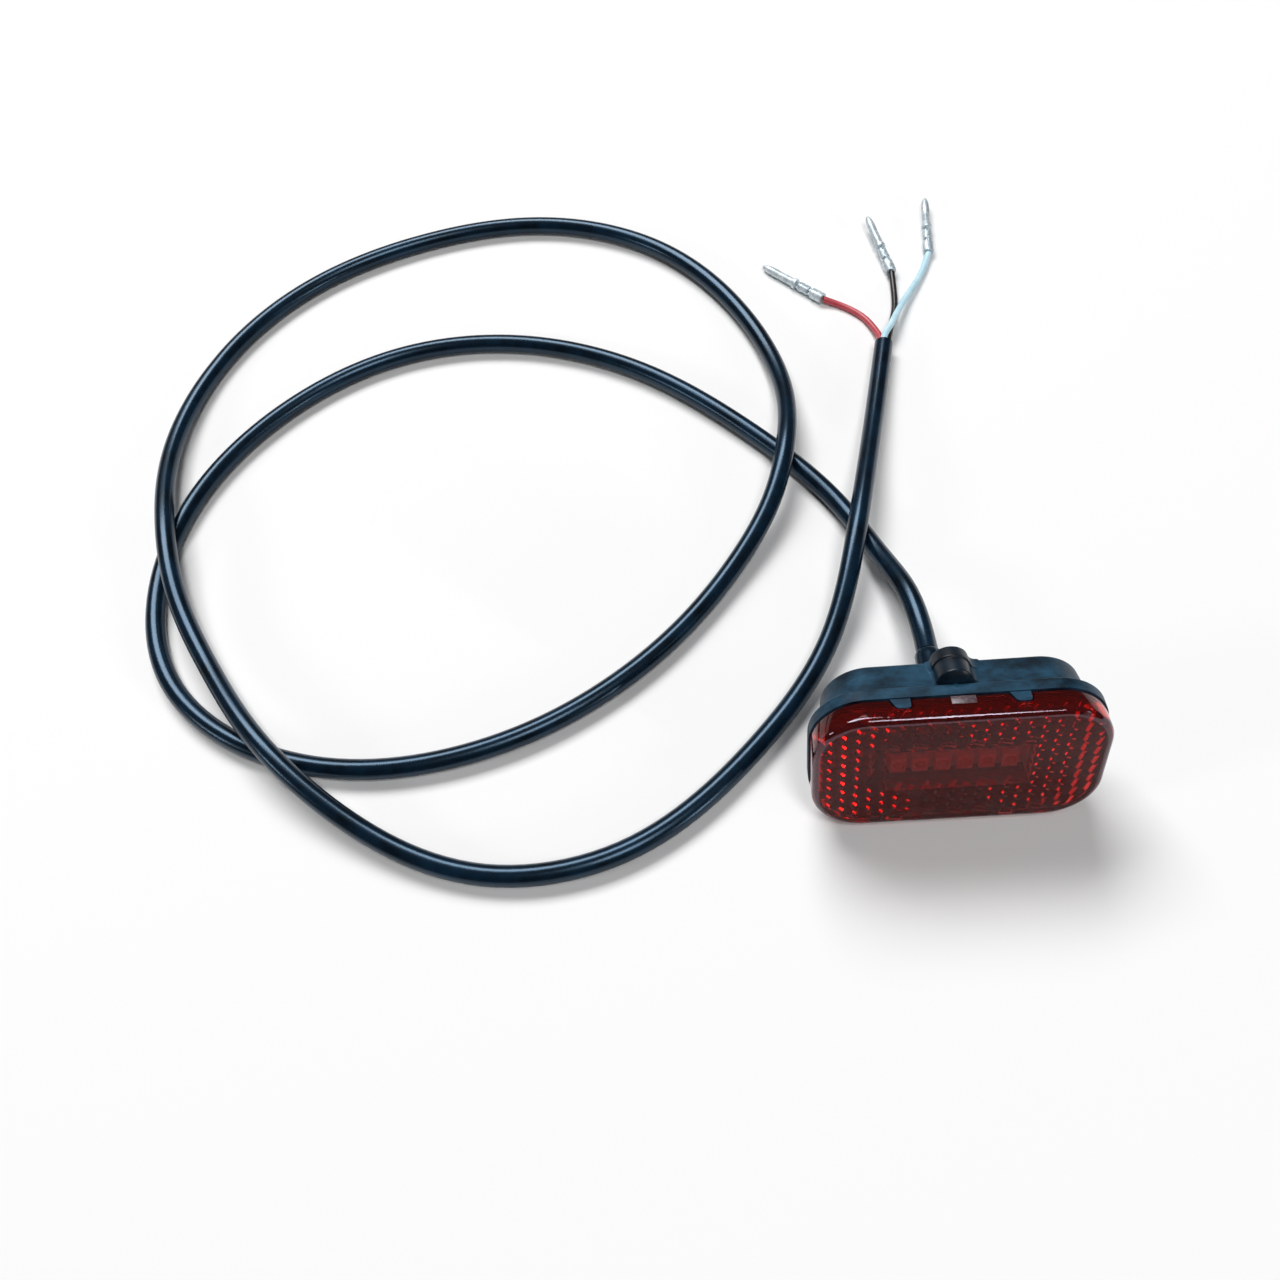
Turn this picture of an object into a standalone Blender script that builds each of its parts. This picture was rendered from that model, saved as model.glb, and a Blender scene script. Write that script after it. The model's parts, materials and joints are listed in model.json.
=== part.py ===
"""Small rectangular tail lamp: a reflex lens on a snap-fit housing, with a free three-core lead.

The lamp is drawn upright in its own axes, then stood on the surface as it rests:
    X runs along the lamp, +Y from the lens rim plane to the back, +Z up the lens face.
    The lens rim plane is Y = 0, and the middle of the lens is X = Z = 0.
It rests on the lower rear edges of its flange and its body, so it leans back a little.
The lead leaves the middle of the back, lies in two loops and ends in three crimped pins.
"""

import math

import bmesh
import bpy
import numpy as np
from mathutils import Matrix, Vector

MM = 0.001

# ---------------------------------------------------------------- driving dimensions
FIT_GAP = 0.3 * MM            # between pieces that touch
EDGE_ROUND = 0.5 * MM         # outer edges of the moulded housing

LENS_WIDTH = 51.0 * MM
LENS_HEIGHT = 29.2 * MM
LENS_DEPTH = 5.0 * MM         # rim to front face
LENS_CORNER = 9.5 * MM
LENS_WALL = 1.4 * MM
LENS_FRONT = 1.0 * MM         # plate under the prisms
LENS_EDGE = 1.3 * MM          # rounding round the front face

PRISM_COLUMN = 2.4 * MM       # between columns of reflex prisms
PRISM_ROW = 2.5 * MM          # between prisms in one column
WINDOW_WIDTH = 25.0 * MM      # plain window in the prism field
WINDOW_HEIGHT = 10.6 * MM
WINDOW_RISE = 0.4 * MM        # its middle above the middle of the lens

FLANGE_MARGIN = 0.2 * MM      # flange past the lens, all round
FLANGE_THICKNESS = 2.5 * MM
BODY_END_STEP = 2.0 * MM      # from the lens's ends in to the body's
BODY_TOP_STEP = 0.6 * MM      # and from its top and bottom
BODY_DEPTH = 6.7 * MM         # behind the flange
BODY_CORNER = 9.0 * MM
BODY_DRAFT = 0.7 * MM         # each side draws in by this towards the back
REAR_WALL = 1.6 * MM
LIP_HEIGHT = 0.5 * MM         # locating lip, in front of the flange
LIP_WALL = 0.9 * MM

TAB_WIDTH = 2.5 * MM          # snap tabs over the lens wall
TAB_LENGTH = 2.1 * MM
TAB_ROUND = 0.6 * MM          # their front corners
TAB_SLANT = 1.0 * MM          # their left flank leans out by this at the rim
TAB_SPACING = 20.0 * MM
GATE_WIDTH = 4.2 * MM         # pad left by the moulding gate, at the rim
GATE_LENGTH = 2.0 * MM
GATE_RISE = 0.12 * MM

BOSS_RADIUS = 3.3 * MM        # half-round boss along the top wall
BOSS_OFFSET = -0.7 * MM       # the lead and the boss lie this far left of the middle
BOSS_RISE = 0.55 * MM         # its centre above the top wall
BOSS_FILLET_LEFT = 0.9 * MM
BOSS_FILLET_RIGHT = 2.2 * MM
BOSS_NOSE = 2.2 * MM          # length of its rounded front end
BOSS_SINK = 0.06 * MM         # by which its fillets run into the wall

SEAL_WIDTH = 0.8 * MM
SEAL_THICKNESS = 0.5 * MM

SHADE_PLATE = 0.6 * MM        # screen behind the prisms
SHADE_WALL = 0.8 * MM         # light box round the window

BOARD_FRONT = 1.0 * MM        # the board's front face, behind the rim plane
BOARD_THICKNESS = 1.2 * MM
SCREW_EDGE = 2.9 * MM         # screw axes in from the board's ends
SCREW_SHANK = 1.8 * MM
SCREW_HEAD = 3.4 * MM
SCREW_HEAD_HEIGHT = 1.1 * MM
POST_DIAMETER = 4.6 * MM

LED_COUNT = 6
LED_PITCH = 3.9 * MM
LED_WIDTH = 2.8 * MM
LED_LENGTH = 3.5 * MM
LED_HEIGHT = 1.4 * MM
LED_DROP = 2.4 * MM           # LED row below the middle of the lens
RESISTOR_COUNT = 3
RESISTOR_PITCH = 7.8 * MM
RESISTOR_LENGTH = 3.2 * MM
RESISTOR_WIDTH = 1.6 * MM
RESISTOR_HEIGHT = 0.6 * MM
RESISTOR_RISE = 2.2 * MM      # resistor row above the middle of the lens
RECTIFIER_LENGTH = 4.6 * MM
RECTIFIER_WIDTH = 2.6 * MM
RECTIFIER_HEIGHT = 1.1 * MM
RECTIFIER_DROP = 6.4 * MM     # below the middle of the lens, on the board's back

INSERT_SPACING = 22.0 * MM    # brass inserts in the back
INSERT_LENGTH = 4.4 * MM
INSERT_DIAMETER = 5.4 * MM
INSERT_BORE = 3.3 * MM        # M4 before its thread
INSERT_BOSS_WALL = 1.0 * MM

CORD_DIAMETER = 4.2 * MM
CORE_DIAMETER = 1.5 * MM
CORE_CIRCLE = 1.04 * MM       # core centres from the jacket's centre
BOOT_LENGTH = 14.0 * MM       # strain relief behind the housing
BOOT_BASE = 8.0 * MM          # its diameter at the housing
BOOT_TIP = 5.2 * MM           # and at its end
BOOT_NECK = 6.0 * MM          # through the rear wall
BOOT_SEAT = 0.8 * MM          # its base is let into the back by this
BOOT_FLANGE = 1.0 * MM        # thickness of its flange inside

PIN_LENGTH = 19.0 * MM
PIN_DIAMETER = 2.0 * MM
CRIMP_DIAMETER = 2.6 * MM

# The lead's route over the surface: X, Y and how far it is lifted, in millimetres. It passes
# over its own first run four times.
CORD_ROUTE = [
    (-2, 36, 5.4), (-6, 49, 1.6), (-14, 66, 0.1), (-31, 87, 0), (-54, 107, 0), (-83, 119, 0),
    (-113, 118, 0), (-138, 104, 0), (-155, 82, 0), (-161, 56, 0), (-154, 30, 0),
    (-133, 12.5, 0), (-106, 7, 0), (-76, 14, 0), (-52, 30, 0), (-37, 47, 0.5), (-27, 63, 3),
    (-22.5, 78, 4.6), (-21.5, 98, 1.4), (-29, 123, 0), (-48, 148, 0), (-77, 161, 0),
    (-108, 159, 0), (-138, 145, 0), (-158, 120, 0), (-164, 92, 1.8), (-160, 67, 4.6),
    (-154, 48, 3.8), (-144, 30, 3.3), (-130, 11, 4.6), (-110, -6, 1.6), (-86, -16, 0),
    (-58, -12, 0), (-34, 7, 0), (-18, 29, 1.2), (-10, 53, 5), (-3.5, 80, 2.2), (3.1, 109, 0.3),
]
# Each core beyond the jacket: its place among the cores, as an angle in degrees seen from the
# jacket's end with 90 on top, its route to the crimp, and the point its pin aims at.
CORE_ROUTES = {
    "red": (210, [(1.8, 115.3, 0.5), (0, 119.4, 0.1), (-3, 122.8, 0), (-6.2, 125.1, 0.1),
                  (-9, 126.4, 0.6)], (-21.6, 139, 0.1)),
    "black": (330, [(6.2, 117.2, 0.1), (7.5, 122, 0), (8.1, 127.8, 0.1), (8.3, 133.6, 0.6)],
              (4.6, 152, 2.0)),
    "white": (90, [(5.1, 113.7, 2.5), (7, 117.6, 2.0), (11.2, 125.6, 0.8), (15.5, 133.2, 0.2),
                   (18.1, 139.5, 0.4)], (20, 160, 1.0)),
}

# ---------------------------------------------------------------- worked out from them
FLANGE_WIDTH = LENS_WIDTH + 2 * FLANGE_MARGIN
FLANGE_HEIGHT = LENS_HEIGHT + 2 * FLANGE_MARGIN
BODY_WIDTH = LENS_WIDTH - 2 * BODY_END_STEP
BODY_HEIGHT = LENS_HEIGHT - 2 * BODY_TOP_STEP
REAR_FACE = FLANGE_THICKNESS + BODY_DEPTH
REAR_INNER = REAR_FACE - REAR_WALL
LENS_INNER_WIDTH = LENS_WIDTH - 2 * LENS_WALL
LENS_INNER_HEIGHT = LENS_HEIGHT - 2 * LENS_WALL
LENS_INNER_CORNER = LENS_CORNER - LENS_WALL
SEAL_CHANNEL = SEAL_WIDTH + 2 * FIT_GAP
LIP_WIDTH = LENS_INNER_WIDTH - 2 * SEAL_CHANNEL
LIP_OUTER_HEIGHT = LENS_INNER_HEIGHT - 2 * SEAL_CHANNEL
LIP_CORNER = LENS_INNER_CORNER - SEAL_CHANNEL
CAVITY_WIDTH = LIP_WIDTH - 2 * LIP_WALL
CAVITY_HEIGHT = LIP_OUTER_HEIGHT - 2 * LIP_WALL
CAVITY_CORNER = LIP_CORNER - LIP_WALL
PRISM_DEPTH = PRISM_COLUMN * 2 / 3 * math.sqrt(2)   # three faces square to each other
LENS_INNER_FRONT = LENS_FRONT - LENS_DEPTH
SHADE_BACK = -LIP_HEIGHT - FIT_GAP
BOARD_BACK = BOARD_FRONT + BOARD_THICKNESS
BOARD_WIDTH = CAVITY_WIDTH - 2 * FIT_GAP
BOARD_HEIGHT = CAVITY_HEIGHT - 2 * FIT_GAP
SCREW_SPACING = BOARD_WIDTH - 2 * SCREW_EDGE
LEAN = math.atan2(FLANGE_HEIGHT / 2 - (BODY_HEIGHT / 2 - BODY_DRAFT), BODY_DEPTH)
CORD_RADIUS = CORD_DIAMETER / 2
OVERLAP = 1.0 * MM            # by which joined shapes and cutters run into each other


# ---------------------------------------------------------------- scene and materials
def clear_scene():
    for obj in list(bpy.data.objects):
        bpy.data.objects.remove(obj, do_unlink=True)
    for collection in list(bpy.data.collections):
        bpy.data.collections.remove(collection)


def new_collection(name):
    collection = bpy.data.collections.new(name)
    bpy.context.scene.collection.children.link(collection)
    return collection


def material(name, colour, roughness, metallic=0.0):
    """A Principled material with this linear colour."""
    made = bpy.data.materials.new(name)
    made.use_nodes = True
    made.diffuse_color = (*colour, 1.0)
    shader = made.node_tree.nodes["Principled BSDF"]
    shader.inputs["Base Color"].default_value = (*colour, 1.0)
    shader.inputs["Roughness"].default_value = roughness
    shader.inputs["Metallic"].default_value = metallic
    return made


def as_part(obj, name, finish, parent=None):
    """Names a finished shape, gives it its material and files it with the lamp's parts."""
    obj.name = name
    obj.data.name = name
    obj.data.materials.clear()
    obj.data.materials.append(finish)
    for owner in list(obj.users_collection):
        owner.objects.unlink(obj)
    PARTS.objects.link(obj)
    obj.parent = parent
    return obj


def as_cutter(obj, name):
    """Files a helper shape with the cutters, out of the render; it leans with the lamp."""
    obj.name = name
    for owner in list(obj.users_collection):
        owner.objects.unlink(obj)
    CUTTERS.objects.link(obj)
    obj.parent = STAND
    obj.hide_render = True
    obj.display_type = "WIRE"
    return obj


def object_from(bm, name):
    """An object of this bmesh, shaded smooth with its sharp edges kept."""
    bmesh.ops.recalc_face_normals(bm, faces=bm.faces)
    mesh = bpy.data.meshes.new(name)
    bm.to_mesh(mesh)
    bm.free()
    mesh.shade_smooth()
    mesh.set_sharp_from_angle(angle=math.radians(32))
    obj = bpy.data.objects.new(name, mesh)
    bpy.context.scene.collection.objects.link(obj)
    return obj


def boolean(obj, other, operation):
    """Adds an exact Boolean of this object with a helper shape."""
    step = obj.modifiers.new(other.name, "BOOLEAN")
    step.operation = operation
    step.solver = "EXACT"
    step.object = other


# ---------------------------------------------------------------- basic shapes
def moved(bm, offset):
    bmesh.ops.translate(bm, verts=bm.verts, vec=Vector(offset))


def rounded_block(width, height, near, far, corner, taper=0.0, near_edge=0.0, far_edge=0.0):
    """A block from Y = near to Y = far with round corners, drawn in by taper at the far end."""
    bm = bmesh.new()
    bmesh.ops.create_cube(bm, size=1.0)
    bmesh.ops.scale(bm, verts=bm.verts, vec=Vector((width, far - near, height)))
    uprights = [e for e in bm.edges if abs(e.verts[0].co.y - e.verts[1].co.y) > 1e-6]
    bmesh.ops.bevel(bm, geom=uprights, offset=corner, segments=9, profile=0.5,
                    affect="EDGES", clamp_overlap=True)
    moved(bm, (0, (near + far) / 2, 0))
    for vert in bm.verts:
        if vert.co.y > (near + far) / 2:
            vert.co.x *= (width - 2 * taper) / width
            vert.co.z *= (height - 2 * taper) / height
    for place, radius in ((near, near_edge), (far, far_edge)):
        if radius:
            rim = [e for e in bm.edges if all(abs(v.co.y - place) < 1e-7 for v in e.verts)]
            bmesh.ops.bevel(bm, geom=rim, offset=radius, segments=4, profile=0.5,
                            affect="EDGES", clamp_overlap=True)
    return bm


def cylinder_along_y(radius, near, far, x, z, segments=32):
    """A cylinder from Y = near to Y = far."""
    bm = bmesh.new()
    turn = Matrix.Rotation(math.radians(90), 4, "X")
    bmesh.ops.create_cone(bm, cap_ends=True, segments=segments, radius1=radius,
                          radius2=radius, depth=far - near, matrix=turn)
    moved(bm, (x, (near + far) / 2, z))
    return bm


def box(low, high):
    """A plain box between two corners."""
    bm = bmesh.new()
    bmesh.ops.create_cube(bm, size=1.0)
    low, high = Vector(low), Vector(high)
    bmesh.ops.scale(bm, verts=bm.verts, vec=high - low)
    moved(bm, (low + high) / 2)
    return bm


def chip(width, height, near, far, x, z, edge):
    """A small rectangular component body with eased edges."""
    bm = box((x - width / 2, near, z - height / 2), (x + width / 2, far, z + height / 2))
    bmesh.ops.bevel(bm, geom=list(bm.edges), offset=edge, segments=1, affect="EDGES")
    return bm


def turned(profile, name, segments=28):
    """A solid turned round the Z axis from (radius, height) pairs, listed from the top down."""
    mesh = bpy.data.meshes.new(name)
    mesh.from_pydata([(r, 0, h) for r, h in profile],
                     [(i, i + 1) for i in range(len(profile) - 1)], [])
    obj = bpy.data.objects.new(name, mesh)
    bpy.context.scene.collection.objects.link(obj)
    screw = obj.modifiers.new("Turn", "SCREW")
    screw.axis = "Z"
    screw.steps = screw.render_steps = segments
    screw.use_merge_vertices = True
    screw.merge_threshold = 1e-6
    return obj


def pointed(obj, start, direction):
    """Places a turned solid with its base at start and its axis along direction."""
    obj.location = start
    obj.rotation_mode = "QUATERNION"
    obj.rotation_quaternion = Vector(direction).to_track_quat("Z", "Y")


def tube(points, radius, name, resolution=2):
    """A round cord or wire through these points, with closed ends."""
    curve = bpy.data.curves.new(name, "CURVE")
    curve.dimensions = "3D"
    curve.bevel_depth = radius
    curve.bevel_resolution = resolution
    curve.use_fill_caps = True
    spline = curve.splines.new("POLY")
    spline.points.add(len(points) - 1)
    for slot, point in zip(spline.points, points):
        slot.co = (*point, 1.0)
    spline.use_smooth = True
    obj = bpy.data.objects.new(name, curve)
    bpy.context.scene.collection.objects.link(obj)
    return obj


def smooth_path(points, count):
    """Reads count points, evenly spaced, from the natural cubic spline through points."""
    points = np.array([tuple(p) for p in points])
    spans = np.linalg.norm(np.diff(points, axis=0), axis=1) ** 0.5
    size = len(points)
    system = np.zeros((size, size))
    target = np.zeros_like(points)
    steps = np.diff(points, axis=0) / spans[:, None]
    for row in range(size):
        before = spans[row - 1] if row > 0 else 0.0
        after = spans[row] if row < size - 1 else 0.0
        system[row, row] = 2 * (before + after)
        if row > 0:
            system[row, row - 1] = after or before
            target[row] += 3 * (after or before) * steps[row - 1]
        if row < size - 1:
            system[row, row + 1] = before or after
            target[row] += 3 * (before or after) * steps[row]
    slopes = np.linalg.solve(system, target)
    fine = []
    for i, span in enumerate(spans):
        for t in np.linspace(0, 1, 24, endpoint=i == size - 2):
            fine.append((2 * t**3 - 3 * t**2 + 1) * points[i]
                        + (t**3 - 2 * t**2 + t) * span * slopes[i]
                        + (3 * t**2 - 2 * t**3) * points[i + 1]
                        + (t**3 - t**2) * span * slopes[i + 1])
    fine = np.array(fine)
    along = np.concatenate([[0], np.cumsum(np.linalg.norm(np.diff(fine, axis=0), axis=1))])
    places = np.linspace(0, along[-1], count)
    return [Vector([np.interp(place, along, fine[:, axis]) for axis in range(3)])
            for place in places]


# ---------------------------------------------------------------- lens
def prism_relief():
    """The hollow behind the lens front: its front face is the negative of the reflex prisms.

    The prisms are cube corners, in columns with every other column half a row up. Tips, low
    corners and middle corners take turns along every line of one triangular grid: its rows are
    half a prism apart, and every other row is shifted by half a step.
    """
    step, rise = PRISM_COLUMN * 2 / 3, PRISM_ROW / 2
    columns = 2 * math.ceil(LENS_INNER_WIDTH / 2 / step) + 4
    rows = 2 * math.ceil(LENS_INNER_HEIGHT / 2 / rise) + 2
    bm = bmesh.new()
    bmesh.ops.create_grid(bm, x_segments=columns, y_segments=rows, size=0.5)
    index_of = {v: (round((v.co.x + 0.5) * columns), round((v.co.y + 0.5) * rows))
                for v in bm.verts}
    for face in list(bm.faces):
        low_left, low_right, high_left, high_right = sorted(
            face.verts, key=lambda v: (index_of[v][1], index_of[v][0]))
        shifted = index_of[low_left][1] % 2
        pair = (low_left, high_right) if shifted else (low_right, high_left)
        bmesh.utils.face_split(face, *pair)
    for vert, (column, row) in index_of.items():
        half_steps = 2 * column + row % 2
        height = (1.0, 0.0, 0.5)[half_steps % 3]
        vert.co = Vector(((half_steps / 2 - columns / 2) * step,
                          LENS_INNER_FRONT + PRISM_DEPTH * height,
                          (row - rows / 2) * rise))
    grown = bmesh.ops.extrude_face_region(bm, geom=list(bm.faces))["geom"]
    for vert in (item for item in grown if isinstance(item, bmesh.types.BMVert)):
        vert.co.y = OVERLAP
    return as_cutter(object_from(bm, "prism_relief"), "prism_relief")


def tab_outlines(name, gap):
    """The four tab shapes in the lens wall, widened by gap, as one helper each.

    Their front corners are rounded, and the left flank leans out towards the rim.
    """
    made = []
    inner_step = LENS_WALL + gap
    outer_step = OVERLAP if gap else 0
    for side in (-1, 1):
        for level in (-1, 1):
            x = side * TAB_SPACING / 2
            ends = sorted((level * (LENS_HEIGHT / 2 + outer_step),
                           level * (LENS_HEIGHT / 2 - inner_step)))
            bm = box((x - TAB_WIDTH / 2 - gap, -TAB_LENGTH - gap, ends[0]),
                     (x + TAB_WIDTH / 2 + gap, OVERLAP, ends[1]))
            lean = TAB_SLANT * (TAB_LENGTH + gap + OVERLAP) / TAB_LENGTH
            for vert in bm.verts:
                if vert.co.x < x and vert.co.y > 0:
                    vert.co.x -= lean
            front = [e for e in bm.edges
                     if all(v.co.y < 0 for v in e.verts) and abs(e.verts[0].co.z - e.verts[1].co.z) > 1e-6]
            bmesh.ops.bevel(bm, geom=front, offset=TAB_ROUND + gap / 3, segments=3, profile=0.5,
                            affect="EDGES")
            made.append(as_cutter(object_from(bm, name), name))
    return made


def make_lens(finish):
    """Red shell: round-cornered front with side walls, reflex prisms and a plain window."""
    lens = object_from(rounded_block(LENS_WIDTH, LENS_HEIGHT, -LENS_DEPTH, -FIT_GAP,
                                     LENS_CORNER, near_edge=LENS_EDGE), "lens_cover")
    hollow = object_from(rounded_block(LENS_INNER_WIDTH, LENS_INNER_HEIGHT,
                                       -LENS_DEPTH, OVERLAP / 2, LENS_INNER_CORNER), "lens_hollow")
    as_cutter(hollow, "lens_hollow")
    boolean(hollow, prism_relief(), "INTERSECT")
    window_low = WINDOW_RISE - WINDOW_HEIGHT / 2
    window = as_cutter(object_from(box((-WINDOW_WIDTH / 2, LENS_INNER_FRONT, window_low),
                                       (WINDOW_WIDTH / 2, 0, window_low + WINDOW_HEIGHT)),
                                   "window"), "window")
    boolean(lens, hollow, "DIFFERENCE")
    boolean(lens, window, "DIFFERENCE")
    gate = box((-GATE_WIDTH / 2, -GATE_LENGTH, LENS_HEIGHT / 2 - LENS_WALL / 2),
               (GATE_WIDTH / 2, -FIT_GAP, LENS_HEIGHT / 2 + GATE_RISE))
    boolean(lens, as_cutter(object_from(gate, "gate"), "gate"), "UNION")
    for notch in tab_outlines("notch", FIT_GAP):
        boolean(lens, notch, "DIFFERENCE")
    return as_part(lens, "lens_cover", finish, STAND)


# ---------------------------------------------------------------- housing
def boss_outline():
    """Half-round boss with a concave fillet on each side.

    Gives (x, z) pairs from the right foot over the crown to the left foot, measured from the
    boss's middle on the top wall.
    """
    sides = []
    for fillet in (BOSS_FILLET_RIGHT, BOSS_FILLET_LEFT):
        foot = fillet - BOSS_SINK
        reach = math.sqrt((BOSS_RADIUS + fillet) ** 2 - (foot - BOSS_RISE) ** 2)
        meet = math.atan2(foot - BOSS_RISE, reach)
        arc = []
        for step in range(6):
            angle = math.radians(-90) - step / 5 * (math.radians(90) - meet)
            arc.append((reach + fillet * math.cos(angle), foot + fillet * math.sin(angle)))
        sides.append((arc, meet))
    (right, right_meet), (left, left_meet) = sides
    crown = []
    for step in range(1, 14):
        angle = right_meet + step / 14 * (math.pi - right_meet - left_meet)
        crown.append((BOSS_RADIUS * math.cos(angle), BOSS_RISE + BOSS_RADIUS * math.sin(angle)))
    return [*right, *crown, *((-x, z) for x, z in reversed(left))]


def boss_sections():
    """Where the boss's outline stands along Y, and its scale there: rounded at both ends."""
    low = (FLANGE_HEIGHT - BODY_HEIGHT) / 2 / (BOSS_RISE + BOSS_RADIUS)
    far = REAR_FACE - BOSS_SINK
    edge = EDGE_ROUND * 0.8
    sections = [(FLANGE_THICKNESS - OVERLAP, low)]
    for step in range(6):
        turn = math.radians(18) * step
        sections.append((FLANGE_THICKNESS + BOSS_NOSE * (1 - math.cos(turn)),
                         low + (1 - low) * math.sin(turn)))
    for step in range(4):
        turn = math.radians(30) * step
        drop = edge * (1 - math.cos(turn)) / (BOSS_RISE + BOSS_RADIUS)
        sections.append((far - edge * (1 - math.sin(turn)), 1 - drop))
    return sections


def make_boss():
    """The boss as a solid that rises from the flange to the back and slopes with the draft."""
    bm = bmesh.new()
    wall, outline = BODY_HEIGHT / 2, boss_outline()
    rings = []
    for y, share in boss_sections():
        top = wall - BODY_DRAFT * (y - FLANGE_THICKNESS) / BODY_DEPTH
        points = [(x * share, top + z * share) for x, z in outline]
        points = [(points[0][0], wall - 2 * OVERLAP), *points, (points[-1][0], wall - 2 * OVERLAP)]
        rings.append([bm.verts.new((BOSS_OFFSET + x, y, z)) for x, z in points])
    for near, far in zip(rings, rings[1:]):
        for index, vert in enumerate(near):
            after = (index + 1) % len(near)
            bm.faces.new((vert, near[after], far[after], far[index]))
    bm.faces.new(rings[0])
    bm.faces.new(rings[-1])
    bmesh.ops.recalc_face_normals(bm, faces=bm.faces)
    return as_cutter(object_from(bm, "boss"), "boss")


def make_housing(finish):
    """Black tub: flange, tapered body, lip, boss, tabs, board posts and insert bosses."""
    housing = object_from(rounded_block(FLANGE_WIDTH, FLANGE_HEIGHT, 0, FLANGE_THICKNESS,
                                        LENS_CORNER + FLANGE_MARGIN, far_edge=EDGE_ROUND),
                          "back_housing")
    hidden = BODY_DRAFT * OVERLAP / BODY_DEPTH
    body = rounded_block(BODY_WIDTH + 2 * hidden, BODY_HEIGHT + 2 * hidden,
                         FLANGE_THICKNESS - OVERLAP, REAR_FACE, BODY_CORNER,
                         taper=BODY_DRAFT + hidden, far_edge=EDGE_ROUND)
    body = as_cutter(object_from(body, "body"), "body")
    lip = rounded_block(LIP_WIDTH, LIP_OUTER_HEIGHT, -LIP_HEIGHT, OVERLAP, LIP_CORNER)
    lip = as_cutter(object_from(lip, "lip"), "lip")
    for piece in (body, make_boss(), lip, *tab_outlines("tab", 0)):
        boolean(housing, piece, "UNION")
    cavity = rounded_block(CAVITY_WIDTH, CAVITY_HEIGHT, -OVERLAP, REAR_INNER, CAVITY_CORNER)
    boolean(housing, as_cutter(object_from(cavity, "cavity"), "cavity"), "DIFFERENCE")
    post_front = BOARD_BACK + FIT_GAP
    insert_floor = REAR_FACE - INSERT_LENGTH - FIT_GAP
    for side in (-1, 1):
        for radius, near, spacing in (
            (POST_DIAMETER / 2, post_front, SCREW_SPACING),
            (INSERT_DIAMETER / 2 + FIT_GAP + INSERT_BOSS_WALL,
             insert_floor - INSERT_BOSS_WALL * 0.7, INSERT_SPACING),
        ):
            post = cylinder_along_y(radius, near, REAR_INNER + OVERLAP, side * spacing / 2, 0)
            boolean(housing, as_cutter(object_from(post, "post"), "post"), "UNION")
        for radius, near, far, spacing in (
            (SCREW_SHANK / 2 + FIT_GAP, post_front - OVERLAP, REAR_INNER - OVERLAP, SCREW_SPACING),
            (INSERT_DIAMETER / 2 + FIT_GAP, insert_floor, REAR_FACE + OVERLAP, INSERT_SPACING),
        ):
            hole = cylinder_along_y(radius, near, far, side * spacing / 2, 0)
            boolean(housing, as_cutter(object_from(hole, "hole"), "hole"), "DIFFERENCE")
    for diameter, near in ((BOOT_NECK, REAR_INNER - OVERLAP), (BOOT_BASE, REAR_FACE - BOOT_SEAT)):
        entry = cylinder_along_y(diameter / 2 + FIT_GAP, near, REAR_FACE + OVERLAP,
                                 BOSS_OFFSET, 0, 36)
        boolean(housing, as_cutter(object_from(entry, "entry"), "entry"), "DIFFERENCE")
    return as_part(housing, "back_housing", finish, STAND)


# ---------------------------------------------------------------- inside the lamp
def make_seal(finish):
    """Rubber ring in the channel between the housing's lip and the lens wall."""
    inset = FIT_GAP
    far = -FIT_GAP
    near = far - SEAL_THICKNESS
    outer = rounded_block(LENS_INNER_WIDTH - 2 * inset, LENS_INNER_HEIGHT - 2 * inset, near, far,
                          LENS_INNER_CORNER - inset)
    seal = object_from(outer, "lens_seal")
    inner_inset = inset + SEAL_WIDTH
    inner = rounded_block(LENS_INNER_WIDTH - 2 * inner_inset, LENS_INNER_HEIGHT - 2 * inner_inset,
                          near - OVERLAP, far + OVERLAP, LENS_INNER_CORNER - inner_inset)
    boolean(seal, as_cutter(object_from(inner, "seal_hole"), "seal_hole"), "DIFFERENCE")
    return as_part(seal, "lens_seal", finish, STAND)


def make_shade(finish):
    """Black screen behind the prisms, with a light box from its window back to the board."""
    clear = 2 * FIT_GAP
    front = SHADE_BACK - SHADE_PLATE
    plate = rounded_block(LENS_INNER_WIDTH - 2 * clear, LENS_INNER_HEIGHT - 2 * clear, front,
                          SHADE_BACK, LENS_INNER_CORNER - clear)
    shade = object_from(plate, "inner_shade")
    half_width, low = WINDOW_WIDTH / 2, WINDOW_RISE - WINDOW_HEIGHT / 2
    high = low + WINDOW_HEIGHT
    back = BOARD_FRONT - FIT_GAP
    case = box((-half_width - SHADE_WALL, SHADE_BACK - SHADE_PLATE / 2, low - SHADE_WALL),
               (half_width + SHADE_WALL, back, high + SHADE_WALL))
    boolean(shade, as_cutter(object_from(case, "light_box"), "light_box"), "UNION")
    opening = box((-half_width, front - OVERLAP, low), (half_width, back + OVERLAP, high))
    boolean(shade, as_cutter(object_from(opening, "opening"), "opening"), "DIFFERENCE")
    return as_part(shade, "inner_shade", finish, STAND)


def make_board(finish):
    """The circuit board, with clearance holes for its two screws."""
    board = object_from(rounded_block(BOARD_WIDTH, BOARD_HEIGHT, BOARD_FRONT, BOARD_BACK,
                                      CAVITY_CORNER - FIT_GAP), "circuit_board")
    for side in (-1, 1):
        hole = cylinder_along_y(SCREW_SHANK / 2 + FIT_GAP, BOARD_FRONT - OVERLAP,
                                BOARD_BACK + OVERLAP, side * SCREW_SPACING / 2, 0)
        boolean(board, as_cutter(object_from(hole, "hole"), "hole"), "DIFFERENCE")
    return as_part(board, "circuit_board", finish, STAND)


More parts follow.
